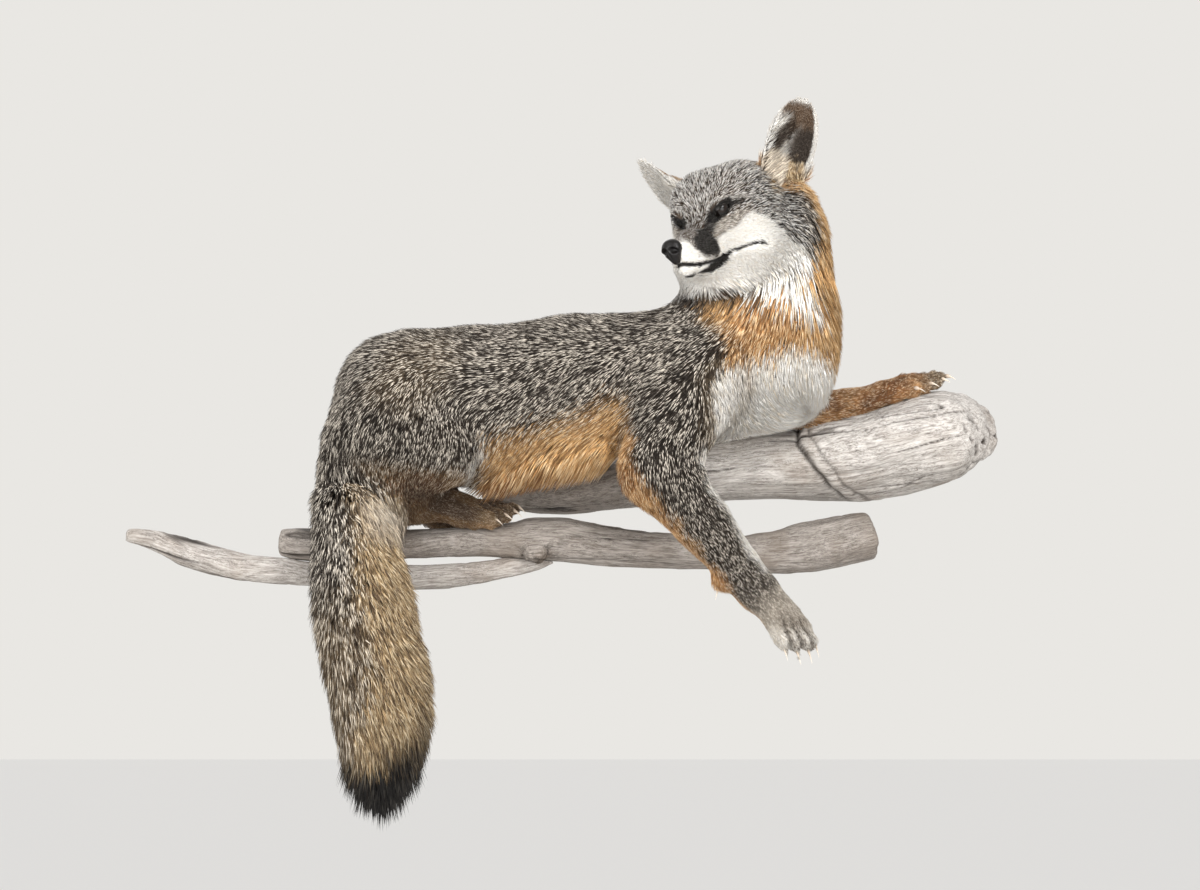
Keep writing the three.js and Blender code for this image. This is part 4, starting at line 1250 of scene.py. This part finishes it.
def tuftPiece(name, tufts, limb):
    # each tuft is a closed spindle: a root, a ring of three and a tip
    roots, ups, rings, tips, widths = (tufts[k] for k in ("roots", "ups", "rings", "tips", "widths"))
    count = len(roots)
    reach = unit(tips - roots)
    across = unit(np.cross(reach, ups))
    raised = np.cross(across, reach)
    half = widths[:, None] / 2
    points = np.empty((count, 5, 3))
    points[:, 0] = roots - ups * coatBuild["rootDepth"]
    points[:, 1] = rings + across * half - raised * half * 0.25
    points[:, 2] = rings + raised * half * 0.6
    points[:, 3] = rings - across * half - raised * half * 0.25
    points[:, 4] = tips
    spindle = np.array([[0, 2, 1], [0, 3, 2], [0, 1, 3], [4, 1, 2], [4, 2, 3], [4, 3, 1]])
    faces = (spindle[None] + 5 * np.arange(count)[:, None, None]).reshape(-1, 3)
    piece = meshPiece(name, points.reshape(-1, 3), faces)
    alongs = np.array([0, 1, 1, 1, 0]) * coatBuild["ringShare"] + np.array([0, 0, 0, 0, 1])
    setAttribute(piece, "along", np.tile(alongs, count))
    setAttribute(piece, "fleck", np.repeat(tufts["fleck"], 5))
    for mark, values in tufts["marks"].items():
        setAttribute(piece, mark, np.repeat(values, 5))
    patch = np.array([(0.5, 0), (0, 0.5), (0.5, 0.5), (1, 0.5), (0.5, 1)]) * coatBuild["patch"]
    spots = (bakePlaces(roots, limb)[:, None] + patch[None]).reshape(-1, 2)
    layer = piece.data.uv_layers.new(name="OFBake")
    layer.data.foreach_set("uv", spots[faces.ravel()].astype(np.float32).ravel())
    finishPiece(piece, coatMaterial, "grey_coat")


def combTufts(skin):
    # roots all over the skin, thinned at the nose, the lips, the eyes and the ears
    points = pointsOf(skin)
    place = placeOnFox(points)
    h = toHead(points)
    hair = hairLength(points, place)
    width = np.clip(hair * coatBuild["widthShare"], coatBuild["narrowest"], coatBuild["widest"])
    head = weightOf(place, "head")
    coverage = sum(weightOf(place, name) * share for name, share in coatBuild["coverage"].items())
    coverage *= ease(2, 16, hair) * 0.6 + 0.4
    density = coverage / (hair * width)
    density *= ease(8.5, 11.0, lengths(h - np.array([-3.5, 0, 1])))
    density *= 1 - 0.9 * ease(1.6, 0.8, closeToLine(h[:, 0], h[:, 2], lipLine)) * head
    for side in (1, -1):
        nearEye = lengths(h - mirrored(eyeBuild["centre"], side)) < 16
        density *= np.where(nearEye, ease(0.2, 1.6, eyeOpening(h, side)), 1)
    density *= attributeOf(skin, "ear") < 0.5
    roots, ups = scatterOnSkin(skin, density)

    # each tuft leans over from its root by its own length and the coat's depth there
    place = placeOnFox(roots)
    hair = hairLength(roots, place) * rng.uniform(0.75, 1.15, len(roots))
    coat = place["coat"]
    lie = lieOfCoat(roots, ups, place)
    loose = 0.09 + 0.12 * weightOf(place, "tail")
    lie = unit(lie + rng.normal(0, 1, (len(roots), 3)) * loose[:, None])
    lie = layFlat(lie, ups)
    height = np.minimum(coat * rng.uniform(0.65, 1.12, len(roots)), hair * 0.8)
    reach = np.sqrt(most(hair**2 - height**2, 0.2))
    ring = coatBuild["ringShare"]
    out, up = reach * ring * coatBuild["ringReach"], height * coatBuild["ringRise"]
    rings = roots + lie * out[:, None] + ups * up[:, None]
    tips = roots + lie * reach[:, None] + ups * height[:, None]

    # the end of the tail and the flank's fringe hang down
    hanging = ease(4.4, 5.6, alongOf(place, "tail")) * weightOf(place, "tail")
    plumb = limbLie("tail", alongOf(place, "tail")) + 0.35 * ups
    plumb = unit(plumb + rng.normal(0, 0.14, (len(roots), 3)))
    hanging = (coatBuild["tailDrop"] * hanging)[:, None]
    tips += (roots + plumb * hair[:, None] - tips) * hanging
    rings += (roots + plumb * (hair * ring * 0.9)[:, None] - rings) * hanging
    fringe = insideOutline(roots[:, 0], roots[:, 2], fringeOutline, 6) * weightOf(place, "trunk")
    fringe = (coatBuild["fringeDrop"] * fringe)[:, None]
    tips += (roots + unit(np.array([-0.12, -0.3, -0.9])) * hair[:, None] - tips) * fringe
    rings += (roots + unit(np.array([-0.12, -0.45, -0.8])) * (hair * ring)[:, None] - rings) * fringe
    width = np.clip(hair * coatBuild["widthShare"], coatBuild["narrowest"], coatBuild["widest"])
    width *= rng.uniform(0.7, 1.25, len(roots))

    # neighbours draw together at their tips, in locks
    inLock = coatBuild["tuftsInLock"] * (1 + 2.0 * weightOf(place, "head"))
    seeds = np.nonzero(rng.random(len(roots)) < 1 / inLock)[0]
    tree = kdtree.KDTree(len(seeds))
    for i, seed in enumerate(seeds):
        tree.insert(roots[seed], i)
    tree.balance()
    lock = np.array([tree.find(p)[1] for p in roots])
    leader = seeds[lock]
    near = lengths(roots - roots[leader]) < hair
    pull = (coatBuild["lockPull"] * near * rng.uniform(0.3, 1, len(roots)))[:, None]
    tips += (tips[leader] - tips) * pull
    rings += (rings[leader] - rings) * pull * 0.35
    lockFleck = rng.random(len(seeds))
    lockShare = coatBuild["lockShare"] * (1 - 0.7 * weightOf(place, "head"))
    fleck = lockShare * lockFleck[lock] + (1 - lockShare) * rng.random(len(roots))
    fleck = np.clip(0.46 + (fleck - 0.5) * 1.3 + 0.2 * weightOf(place, "head"), 0, 1)

    # each tuft takes its marks from a little way off, so that the edges mix hair by hair
    stray = 0.5 + 4.5 * weightOf(place, "trunk", "neck", "tail")
    stray += 1.5 * weightOf(place, "forelegRight", "hindlegRight")
    stray *= 1 - 0.9 * insideOutline(roots[:, 0], roots[:, 2], thighEdge, 9)
    shown = roots + 0.6 * (tips - roots) + rng.normal(0, 1, (len(roots), 3)) * stray[:, None]
    marks = markings(shown, ups, place)
    grizzle = weightOf(place, "head") * (1 - marks["white"]) * (1 - marks["rust"])
    marks["white"] = most(marks["white"], 0.8 * grizzle * ease(0.68, 0.88, fleck))
    marks["black"] = most(marks["black"], 0.55 * grizzle * ease(0.42, 0.25, fleck))
    return {"roots": roots, "ups": ups, "rings": rings, "tips": tips, "widths": width, "fleck": fleck,
            "marks": marks, "place": place}


def hairLength(points, place):
    h = toHead(points)
    ruff = ease(-72, -100, h[:, 0]) * ease(18, -10, h[:, 2]) * weightOf(place, "head", "neck")
    fringe = insideOutline(points[:, 0], points[:, 2], fringeOutline, 8) * weightOf(place, "trunk")
    beforeEar = ease(22, 32, np.abs(h[:, 1])) * ease(14, 26, h[:, 2]) * ease(-88, -98, h[:, 0])
    throat = ease(-26, -36, h[:, 2]) * ease(-20, -40, h[:, 0]) * ease(-96, -70, h[:, 2])
    beforeEar, throat = (part * weightOf(place, "head", "neck") for part in (beforeEar, throat))
    longer = coatBuild["hair"]
    hair = place["hair"] + longer["ruff"] * ruff + longer["fringe"] * fringe
    return hair + longer["beforeEar"] * beforeEar + longer["throat"] * throat


def combEar(skin, side, number):
    # short hair up the ear, a pale fringe on its rim and long white hairs across its front
    onEar = np.abs(attributeOf(skin, "ear") - number) < 0.5
    roots, ups = scatterOnSkin(skin, 1.5 * onEar)
    across, high = inEar(roots, side)
    lean, acrossWay, front = (way @ headAxes.T for way in earAxes(side)[1:])
    inner = ease(-0.15, 0.2, ups @ front)
    rim = ease(0.82, 0.95, most(np.abs(across), high))
    frontHairs = inner * ease(0.15, 0.5, across) * ease(0.85, 0.6, high)
    if side == "right":
        frontHairs = inner * 0.4
    atBase = ease(0.3, 0.05, high)
    hair = 3.4 + 8 * frontHairs - 0.8 * rim + 9 * atBase * (1 - 0.5 * inner)
    hair = hair * rng.uniform(0.75, 1.2, len(roots))
    lie = lean - acrossWay * (1.1 * frontHairs)[:, None]
    lie = lie + acrossWay * (np.sign(across) * rim * 0.35)[:, None]
    lie = unit(lie + rng.normal(0, 0.14, (len(roots), 3)))
    lie = layFlat(lie, ups)
    height = (0.8 + 2.2 * frontHairs + 2.5 * atBase) * rng.uniform(0.6, 1.2, len(roots))
    reach = np.sqrt(most(hair**2 - height**2, 0.5))
    rings = roots + lie * (reach * 0.4)[:, None] + ups * (height * 0.7)[:, None]
    tips = roots + lie * reach[:, None] + ups * height[:, None]
    widths = np.clip(hair * 0.1, 0.45, 0.8) * rng.uniform(0.7, 1.2, len(roots))
    return {"roots": roots, "ups": ups, "rings": rings, "tips": tips, "widths": widths,
            "fleck": rng.random(len(roots)), "marks": earMarkings(roots, ups, side)}


coatParts = [  # name, limb, first and last link of its share
    ("coatRump", "trunk", 0, 1.7), ("coatLoin", "trunk", 1.7, 2.6), ("coatFlank", "trunk", 2.6, 3.5),
    ("coatShoulder", "trunk", 3.5, 4.3), ("coatChest", "trunk", 4.3, 9), ("coatNeck", "neck", 0, 9),
    ("coatFace", "head", 0, 1.6), ("coatCrown", "head", 1.6, 2.4), ("coatCheeks", "head", 2.4, 9),
    ("coatTailUpper", "tail", 0, 3.4), ("coatTailLower", "tail", 3.4, 9),
    ("coatForelegRight", "forelegRight", 0, 9), ("coatForelegLeft", "forelegLeft", 0, 9),
    ("coatThighRight", "hindlegRight", 0, 1.5), ("coatShankRight", "hindlegRight", 1.5, 9),
    ("coatHindlegLeft", "hindlegLeft", 0, 9),
]


def growCoat(skin):
    tufts = combTufts(skin)
    place = tufts.pop("place")
    made = 0
    for name, limb, first, last in coatParts:
        along = alongOf(place, limb)
        chosen = (place["limb"] == limbNames.index(limb)) & (along >= first) & (along < last)
        if not chosen.any():
            continue
        part = {k: v[chosen] for k, v in tufts.items() if k != "marks"}
        part["marks"] = {k: v[chosen] for k, v in tufts["marks"].items()}
        tuftPiece(name, part, limb)
        made += int(chosen.sum())
        print("  ", name, int(chosen.sum()), "tufts")
    for name, side, number in (("coatEarLeft", "left", 1), ("coatEarRight", "right", 2)):
        tufts = combEar(skin, side, number)
        tuftPiece(name, tufts, "head")
        made += len(tufts["roots"])
        print("  ", name, len(tufts["roots"]), "tufts")
    print("stage: coat,", made, "tufts,", made * 6, "triangles")


markSkin(skin)
finishPiece(skin, coatMaterial, "grey_coat", *fleshNodes, "ear_left", "ear_right")
growCoat(skin)


# Eyes, nose and claws

def eyeGlass():
    # a blown glass eye: a near-black brown iris and a round pupil under clear glass, polished
    material, tree, shader = newMaterial("eyeGlass", 0.05, 0.35)
    place = addNode(tree, "TexCoord", output="Object")
    turn = addNode(tree, "Attribute", output="Fac", attribute_name="turn")
    streaks = addNode(tree, "TexNoise", {"Vector": place, "Scale": 900.0, "Detail": 2.0})
    colour = addNode(tree, "Mix", {0: streaks, 6: "#0D0704", 7: "#1E120A"}, 2, data_type="RGBA")
    pupil = addNode(tree, "ValToRGB", {0: turn}, stops=[(0.26, 0.0), (0.3, 1.0)])
    colour = addNode(tree, "Mix", {0: pupil, 6: "#050403", 7: colour}, 2, data_type="RGBA")
    rim = addNode(tree, "ValToRGB", {0: turn}, stops=[(0.5, 0.0), (0.62, 1.0)])
    colour = addNode(tree, "Mix", {0: rim, 6: colour, 7: "#0B0705"}, 2, data_type="RGBA")
    tree.links.new(colour, shader.inputs["Base Color"])
    return material


def noseLeather():
    # bare wet-look nose skin: black, pebbled at about half a millimetre, with a satin gloss
    material, tree, shader = newMaterial("noseLeather", 0.3, 0.25)
    place = addNode(tree, "TexCoord", output="Object")
    grain = {"Vector": place, "Scale": 1400.0}
    pebbles = addNode(tree, "TexVoronoi", grain, "Distance", feature="SMOOTH_F1")
    colour = addNode(tree, "ValToRGB", {0: pebbles}, stops=[(0.0, "#1B1817"), (0.7, "#0C0A0A")])
    bump = addNode(tree, "Bump", {"Height": pebbles, "Strength": 0.5, "Distance": 0.0003}, invert=True)
    tree.links.new(colour, shader.inputs["Base Color"])
    tree.links.new(bump, shader.inputs["Normal"])
    return material


def clawHorn():
    # horn: smooth, brown at the root and paler to the tip
    material, tree, shader = newMaterial("clawHorn", 0.38)
    along = addNode(tree, "Attribute", output="Fac", attribute_name="along")
    horn = [(0.0, "#6B5544"), (0.35, "#B7A48F"), (1.0, "#E6DCCB")]
    colour = addNode(tree, "ValToRGB", {0: along}, stops=horn)
    tree.links.new(colour, shader.inputs["Base Color"])
    return material


eyeMaterial, noseMaterial, clawMaterial = eyeGlass(), noseLeather(), clawHorn()


def addEye(name, side, node):
    deselectAll()
    bpy.ops.mesh.primitive_uv_sphere_add(segments=48, ring_count=32, radius=1)
    eye = bpy.context.object
    eye.name = eye.data.name = name
    gaze, lids = eyeAxes(side)[:2]
    ball = pointsOf(eye) * milli
    turn = np.arccos(np.clip(ball[:, 2], -1, 1))
    cornea = 1 + 0.07 * bell(turn, 0.5)
    axes = np.stack([lids, np.cross(gaze, lids), gaze])
    placed = (ball * cornea[:, None]) @ axes * eyeBuild["radius"]
    movePoints(eye, fromHead(placed + mirrored(eyeBuild["centre"], side)))
    setAttribute(eye, "turn", turn)
    shadeSmooth(eye)
    finishPiece(eye, eyeMaterial, "eye_glass", node)


noseBuild = {
    "centre": (-3.5, 0, 0.4), "radii": (7.3, 8.6, 8.2), "flattened": 1.1, "squared": 0.8,
    "tapered": 0.4, "philtrum": 0.5, "grooveDepth": 1.3, "setBack": 2.2,
    "nostril": (2.6, 4.2, -0.6), "nostrilReach": 2.3, "nostrilDepth": 4.2, "nostrilRim": 0.35,
}


def addNose():
    deselectAll()
    bpy.ops.mesh.primitive_uv_sphere_add(segments=72, ring_count=48, radius=1)
    nose = bpy.context.object
    nose.name = nose.data.name = "noseLeather"
    ball = (pointsOf(nose) * milli)[:, [2, 0, 1]]
    shape = ball * np.array(noseBuild["radii"])
    flat = ease(0.2, 0.9, ball[:, 0])
    shape[:, 0] -= noseBuild["flattened"] * flat
    shape[:, 2] += noseBuild["squared"] * flat * ball[:, 2]
    groove = bell(shape[:, 1], 0.8) * ease(1, -3, shape[:, 2]) * ease(0, 0.5, ball[:, 0])
    shape[:, 0] -= noseBuild["grooveDepth"] * groove
    low = ease(0, -0.9, ball[:, 2])
    shape[:, 1] *= 1 - noseBuild["tapered"] * low
    shape[:, 2] *= 1 + noseBuild["philtrum"] * low
    shape[:, 0] -= noseBuild["setBack"] * low * low
    place = shape + np.array(noseBuild["centre"])
    for side in (1, -1):
        pit = place - mirrored(noseBuild["nostril"], side)
        comma = np.hypot(pit[:, 1] / 1.25, pit[:, 2] + 0.25 * side * pit[:, 1]) / noseBuild["nostrilReach"]
        depth = np.exp(-(comma**3)) * ease(-2, 1, place[:, 0] - noseBuild["centre"][0])
        place[:, 0] -= noseBuild["nostrilDepth"] * depth
        rim = bell(comma - 1.35, 0.4) * ease(0, 2, place[:, 0] - noseBuild["centre"][0])
        place[:, 0] += noseBuild["nostrilRim"] * rim
    movePoints(nose, fromHead(place))
    faceOutwards(nose)
    shadeSmooth(nose)
    finishPiece(nose, noseMaterial, "nose_leather", "nose")


def toeEnd(paw, share):
    knuckle, tip = np.array(paw["knuckle"], float), np.array(paw["tip"], float)
    across = unit(np.array(paw["side"], float)) * paw["spread"] * share
    end = knuckle + across + (tip - knuckle) * (1 - 0.2 * share * share)
    return end, unit(tip - knuckle)


def addClaws():
    deselectAll()
    bpy.ops.mesh.primitive_cone_add(vertices=12, radius1=1, radius2=0.12, depth=1, location=(0, 0, 0.5))
    model = bpy.context.object
    bpy.ops.object.transform_apply(location=True)
    bpy.ops.object.mode_set(mode="EDIT")
    for height in clawBuild["rings"]:
        bpy.ops.mesh.select_all(action="SELECT")
        bpy.ops.mesh.bisect(plane_co=(0, 0, height), plane_no=(0, 0, 1))
    doneEditing()
    applyModifier(model, "SUBSURF", {"levels": 1, "render_levels": 1})
    shape = pointsOf(model) * milli
    for name, paw in paws.items():
        side = unit(np.array(paw["side"], float))
        claws = []
        roots = [toeEnd(paw, share) for share in clawBuild["toes"]]
        if name == "clawsForepawRight":
            roots.append((np.array(carpalPad["at"]) + [3, 0, 3], unit(np.array(clawBuild["dewClaw"]))))
        for end, ahead in roots:
            claw = newObject(name, model.data.copy())
            back = unit(np.cross(ahead, side))
            start = end + ahead * paw["radius"] * clawBuild["rooted"]
            along = shape[:, 2]
            fat = clawBuild["radius"] * (0.75 + 0.25 * np.cos(along * 3))
            droop = clawBuild["length"] * clawBuild["droop"] * along**2
            bent = start + ahead * (clawBuild["length"] * along)[:, None]
            bent = bent + np.array([0, 0, -1]) * droop[:, None]
            bent = bent + side * (shape[:, 0] * fat * clawBuild["flatness"])[:, None]
            bent = bent + back * (shape[:, 1] * fat)[:, None]
            movePoints(claw, bent)
            setAttribute(claw, "along", along)
            claws.append(claw)
        piece = joinPieces(claws, name)
        faceOutwards(piece)
        shadeSmooth(piece)
        finishPiece(piece, clawMaterial, "claw_horn")
    bpy.data.objects.remove(model)


addEye("eyeLeft", 1, "eye_left")
addEye("eyeRight", -1, "eye_right")
addNose()
addClaws()
print("stage: eyes, nose and claws")


# Driftwood

wood = {
    "log_upper": {
        "piece": "driftLog",
        "path": [
            (-138, -22, -2), (-100, -25, -4), (-66, -27, -3), (-20, -31, 6), (30, -37, 15), (92, -42, 20),
            (140, -43, 21), (184, -43, 26), (226, -44, 37), (258, -44, 43), (287, -44, 42),
        ],
        "voxel": 3.1,
        "crackDepth": 2.2,
        "gnarl": 2.6,
    },
    "branch_middle": {
        "piece": "driftBranch",
        "path": [
            (-300, -76, -47), (-276, -77, -50), (-236, -78, -52), (-168, -79, -48), (-120, -78, -46),
            (-84, -77, -45), (-40, -76, -50), (40, -72, -56), (96, -66, -56), (140, -60, -50),
            (184, -57, -41),
        ],
        "voxel": 2.9,
        "crackDepth": 1.5,
        "gnarl": 1.6,
        "shade": 0.5,
    },
    "branch_thin": {
        "piece": "driftTwig",
        "path": [
            (-425, -74, -42), (-400, -75, -46), (-372, -76, -57), (-330, -77, -68), (-276, -78, -73),
            (-200, -79, -77), (-140, -79, -73), (-100, -78, -66), (-74, -77, -60),
        ],
        "voxel": 2.3,
        "crackDepth": 1.0,
        "gnarl": 1.0,
        "shade": 0.2,
    },
}
collar = {  # the log's torn collar
    "line": [(126, 54), (122, 42), (121, 31), (129, 18), (144, 2), (161, -9), (184, -17)],  # as (x, z)
    "swell": 4.2, "crack": 2.6, "secondCrack": 1.0,
}
burl = {"from": 240, "full": 276, "lumps": 2.2, "pits": 3.0}  # the log's rough end, by x
knob = {"at": (-86, -92, -62), "reach": 15, "lumps": 1.6}  # the broken stub under the middle branch
grainStretch = 11  # cracks and streaks are this much longer than they are wide


def woodGrain(points, path):
    # how far along the wood a place is and where it is across it, in millimetres
    run = np.concatenate([[0], np.cumsum(lengths(np.diff(path, axis=0)))])
    along = nearestOnPath(points, path, [1] * len(path), overrun=1)[1]
    out = points - valuesAt(along, path)
    return np.stack([valuesAt(along, run), out[:, 1], out[:, 2]], axis=1)


def weatherWood(piece, build):
    points, normals = pointsOf(piece), normalsOf(piece)
    grain = woodGrain(points, build["path"])
    twist = grain.copy()
    twist[:, 1] += 5 * softNoise(grain, 60, 40)
    twist[:, 2] += 5 * softNoise(grain, 60, 41)
    streak = twist * [1 / grainStretch, 1, 1]
    knots = softNoise(points, 26, 42)
    ridges = softNoise(streak, 7, 43) + 0.5 * softNoise(streak, 3.4, 44)
    crackWidth = 0.1 + 0.05 * softNoise(grain * [0.3, 1, 1], 18, 45)
    crackAt = np.abs(softNoise(streak * [0.6, 1, 1], 9, 46))
    crack = ease(crackWidth, 0.0, crackAt) * ease(-0.1, 0.25, softNoise(grain * [0.25, 1, 1], 22, 47))
    fine = ease(0.12, 0.0, np.abs(softNoise(streak, 4.2, 48))) * 0.35
    moved = build["gnarl"] * 0.55 * knots + 0.8 * ridges - build["crackDepth"] * most(crack, fine)
    # painted shade, partly the wood's own darker tone: the branches darker all over, the log darker at its
    # left end under the fox's belly, and the stub under the middle branch darker
    shade = np.full(len(points), build.get("shade", 0.0))
    if build["piece"] == "driftLog":
        shade = 0.6 * ease(60, -50, points[:, 0])
        x, z = points[:, 0] + 2 * softNoise(points, 14, 49), points[:, 2]
        line = closeToLine(x, z, collar["line"])
        second = closeToLine(x - 9 - 3 * softNoise(points, 20, 50), z - 5, collar["line"])
        edge = np.interp(z, [c[1] for c in collar["line"][::-1]], [c[0] for c in collar["line"][::-1]])
        onFace = ease(0.0, 0.4, -normals[:, 1])
        raised = ease(-2, 4, x - edge) * ease(70, 10, x - edge) * onFace
        torn = collar["swell"] * raised - collar["crack"] * bell(line, 2.0)
        moved += (torn - collar["secondCrack"] * bell(second, 1.2)) * onFace
        crack = most(crack, 0.9 * bell(line, 1.5) * onFace, 0.6 * bell(second, 1.0) * onFace)
        rough = ease(burl["from"], burl["full"], points[:, 0] + 12 * softNoise(points, 20, 51))
        lumps = softNoise(points, 11, 52) + 0.6 * softNoise(points, 5.5, 53)
        pits = ease(0.45, 0.9, softNoise(points, 6.5, 54) + 0.35 * softNoise(points, 3.5, 55)) * rough
        moved += rough * burl["lumps"] * lumps - burl["pits"] * pits
        crack = most(crack, pits)
    if build["piece"] == "driftBranch":
        onKnob = bell(lengths(points - knob["at"]), knob["reach"])
        splits = ease(0.2, 0.0, np.abs(softNoise(points, 5, 56)))
        moved += onKnob * (knob["lumps"] * softNoise(points, 6, 57) - knob["lumps"] * splits)
        crack = most(crack, 0.85 * onKnob * splits)
        shade = most(shade, 0.9 * onKnob)
    room = ease(0.3, 3.0, np.abs(points[:, 1]))  # the back stays flat against the wall
    movePoints(piece, points + normals * (moved * room)[:, None])
    setAttribute(piece, "grain", streak)
    setAttribute(piece, "crack", np.clip(crack + 0.6 * fine, 0, 1))
    setAttribute(piece, "shade", shade)


def driftwood():
    # driftwood, bleached by sun and water to a silver grey: dry and matt, with dark checks along the grain
    material, tree, shader = newMaterial("driftwood", 0.85, 0.3)
    place = addNode(tree, "TexCoord", output="Object")
    grain = addNode(tree, "Attribute", output="Vector", attribute_name="grain")
    crack = addNode(tree, "Attribute", output="Fac", attribute_name="crack")
    shade = addNode(tree, "Attribute", output="Fac", attribute_name="shade")
    streaks = addNode(tree, "TexNoise", {"Vector": grain, "Scale": 0.75, "Detail": 6.0, "Roughness": 0.65})
    fibres = addNode(tree, "TexNoise", {"Vector": grain, "Scale": 2.6, "Detail": 3.0, "Roughness": 0.6})
    stains = addNode(tree, "TexNoise", {"Vector": place, "Scale": 22.0, "Detail": 3.0})
    lines = addNode(tree, "TexNoise", {"Vector": grain, "Scale": 1.6, "Detail": 2.0, "Distortion": 0.4})
    gaps = addNode(tree, "TexNoise", {"Vector": grain, "Scale": 0.25, "Detail": 1.0})
    lineStops = [(0.475, 0.0), (0.495, 1.0), (0.505, 1.0), (0.525, 0.0)]
    hairlines = addNode(tree, "ValToRGB", {0: lines}, stops=lineStops)
    unbroken = addNode(tree, "ValToRGB", {0: gaps}, stops=[(0.42, 0.0), (0.56, 1.0)])
    bleached = [(0.25, "#78706A"), (0.4, "#A29B94"), (0.52, "#C4BEB7"), (0.72, "#DFDAD4")]
    colour = addNode(tree, "ValToRGB", {0: streaks}, stops=bleached)
    fibreShade = addNode(tree, "ValToRGB", {0: fibres}, stops=[(0.3, "#8F8983"), (0.52, "#FFFFFF")])
    stained = addNode(tree, "ValToRGB", {0: stains}, stops=[(0.5, 0.0), (0.72, 0.55)])
    checked = addNode(tree, "Math", {0: hairlines, 1: unbroken}, operation="MULTIPLY")
    # painted shade: darker where the shade attribute is high
    shadeTint = addNode(tree, "Mix", {0: shade, 6: "#FFFFFF", 7: "#80705F"}, 2, data_type="RGBA")
    for share, over, blend in (  # laid over the bleached colour in turn
        (0.55, fibreShade, "MULTIPLY"),
        (stained, "#8A7B6C", "MIX"),
        (checked, "#4B433C", "MIX"),
        (crack, "#37302B", "MIX"),
        (1.0, shadeTint, "MULTIPLY"),
    ):
        colour = addNode(tree, "Mix", {0: share, 6: colour, 7: over}, 2, data_type="RGBA", blend_type=blend)
    height = addNode(tree, "Math", {0: streaks, 1: fibres}, operation="ADD")
    bump = addNode(tree, "Bump", {"Height": height, "Strength": 0.6, "Distance": 0.0007})
    tree.links.new(colour, shader.inputs["Base Color"])
    tree.links.new(bump, shader.inputs["Normal"])
    return material


def addWood():
    woodMaterial = driftwood()
    for node, build in wood.items():
        piece = copyOfNode(node)
        piece.name = piece.data.name = build["piece"]
        remeshPiece(piece, build["voxel"])
        smoothPiece(piece, 8)
        if node == "log_upper":
            points = pointsOf(piece)
            points[:, 1] = np.where(points[:, 1] > -1.2, 0, points[:, 1])  # flat where it meets the wall
            movePoints(piece, points)
        applyModifier(piece, "SUBSURF", {"levels": 1, "render_levels": 1})
        weatherWood(piece, build)
        shadeSmooth(piece)
        finishPiece(piece, woodMaterial, "driftwood", node)
        print("  ", build["piece"], len(piece.data.polygons), "faces")


addWood()
print("stage: driftwood")
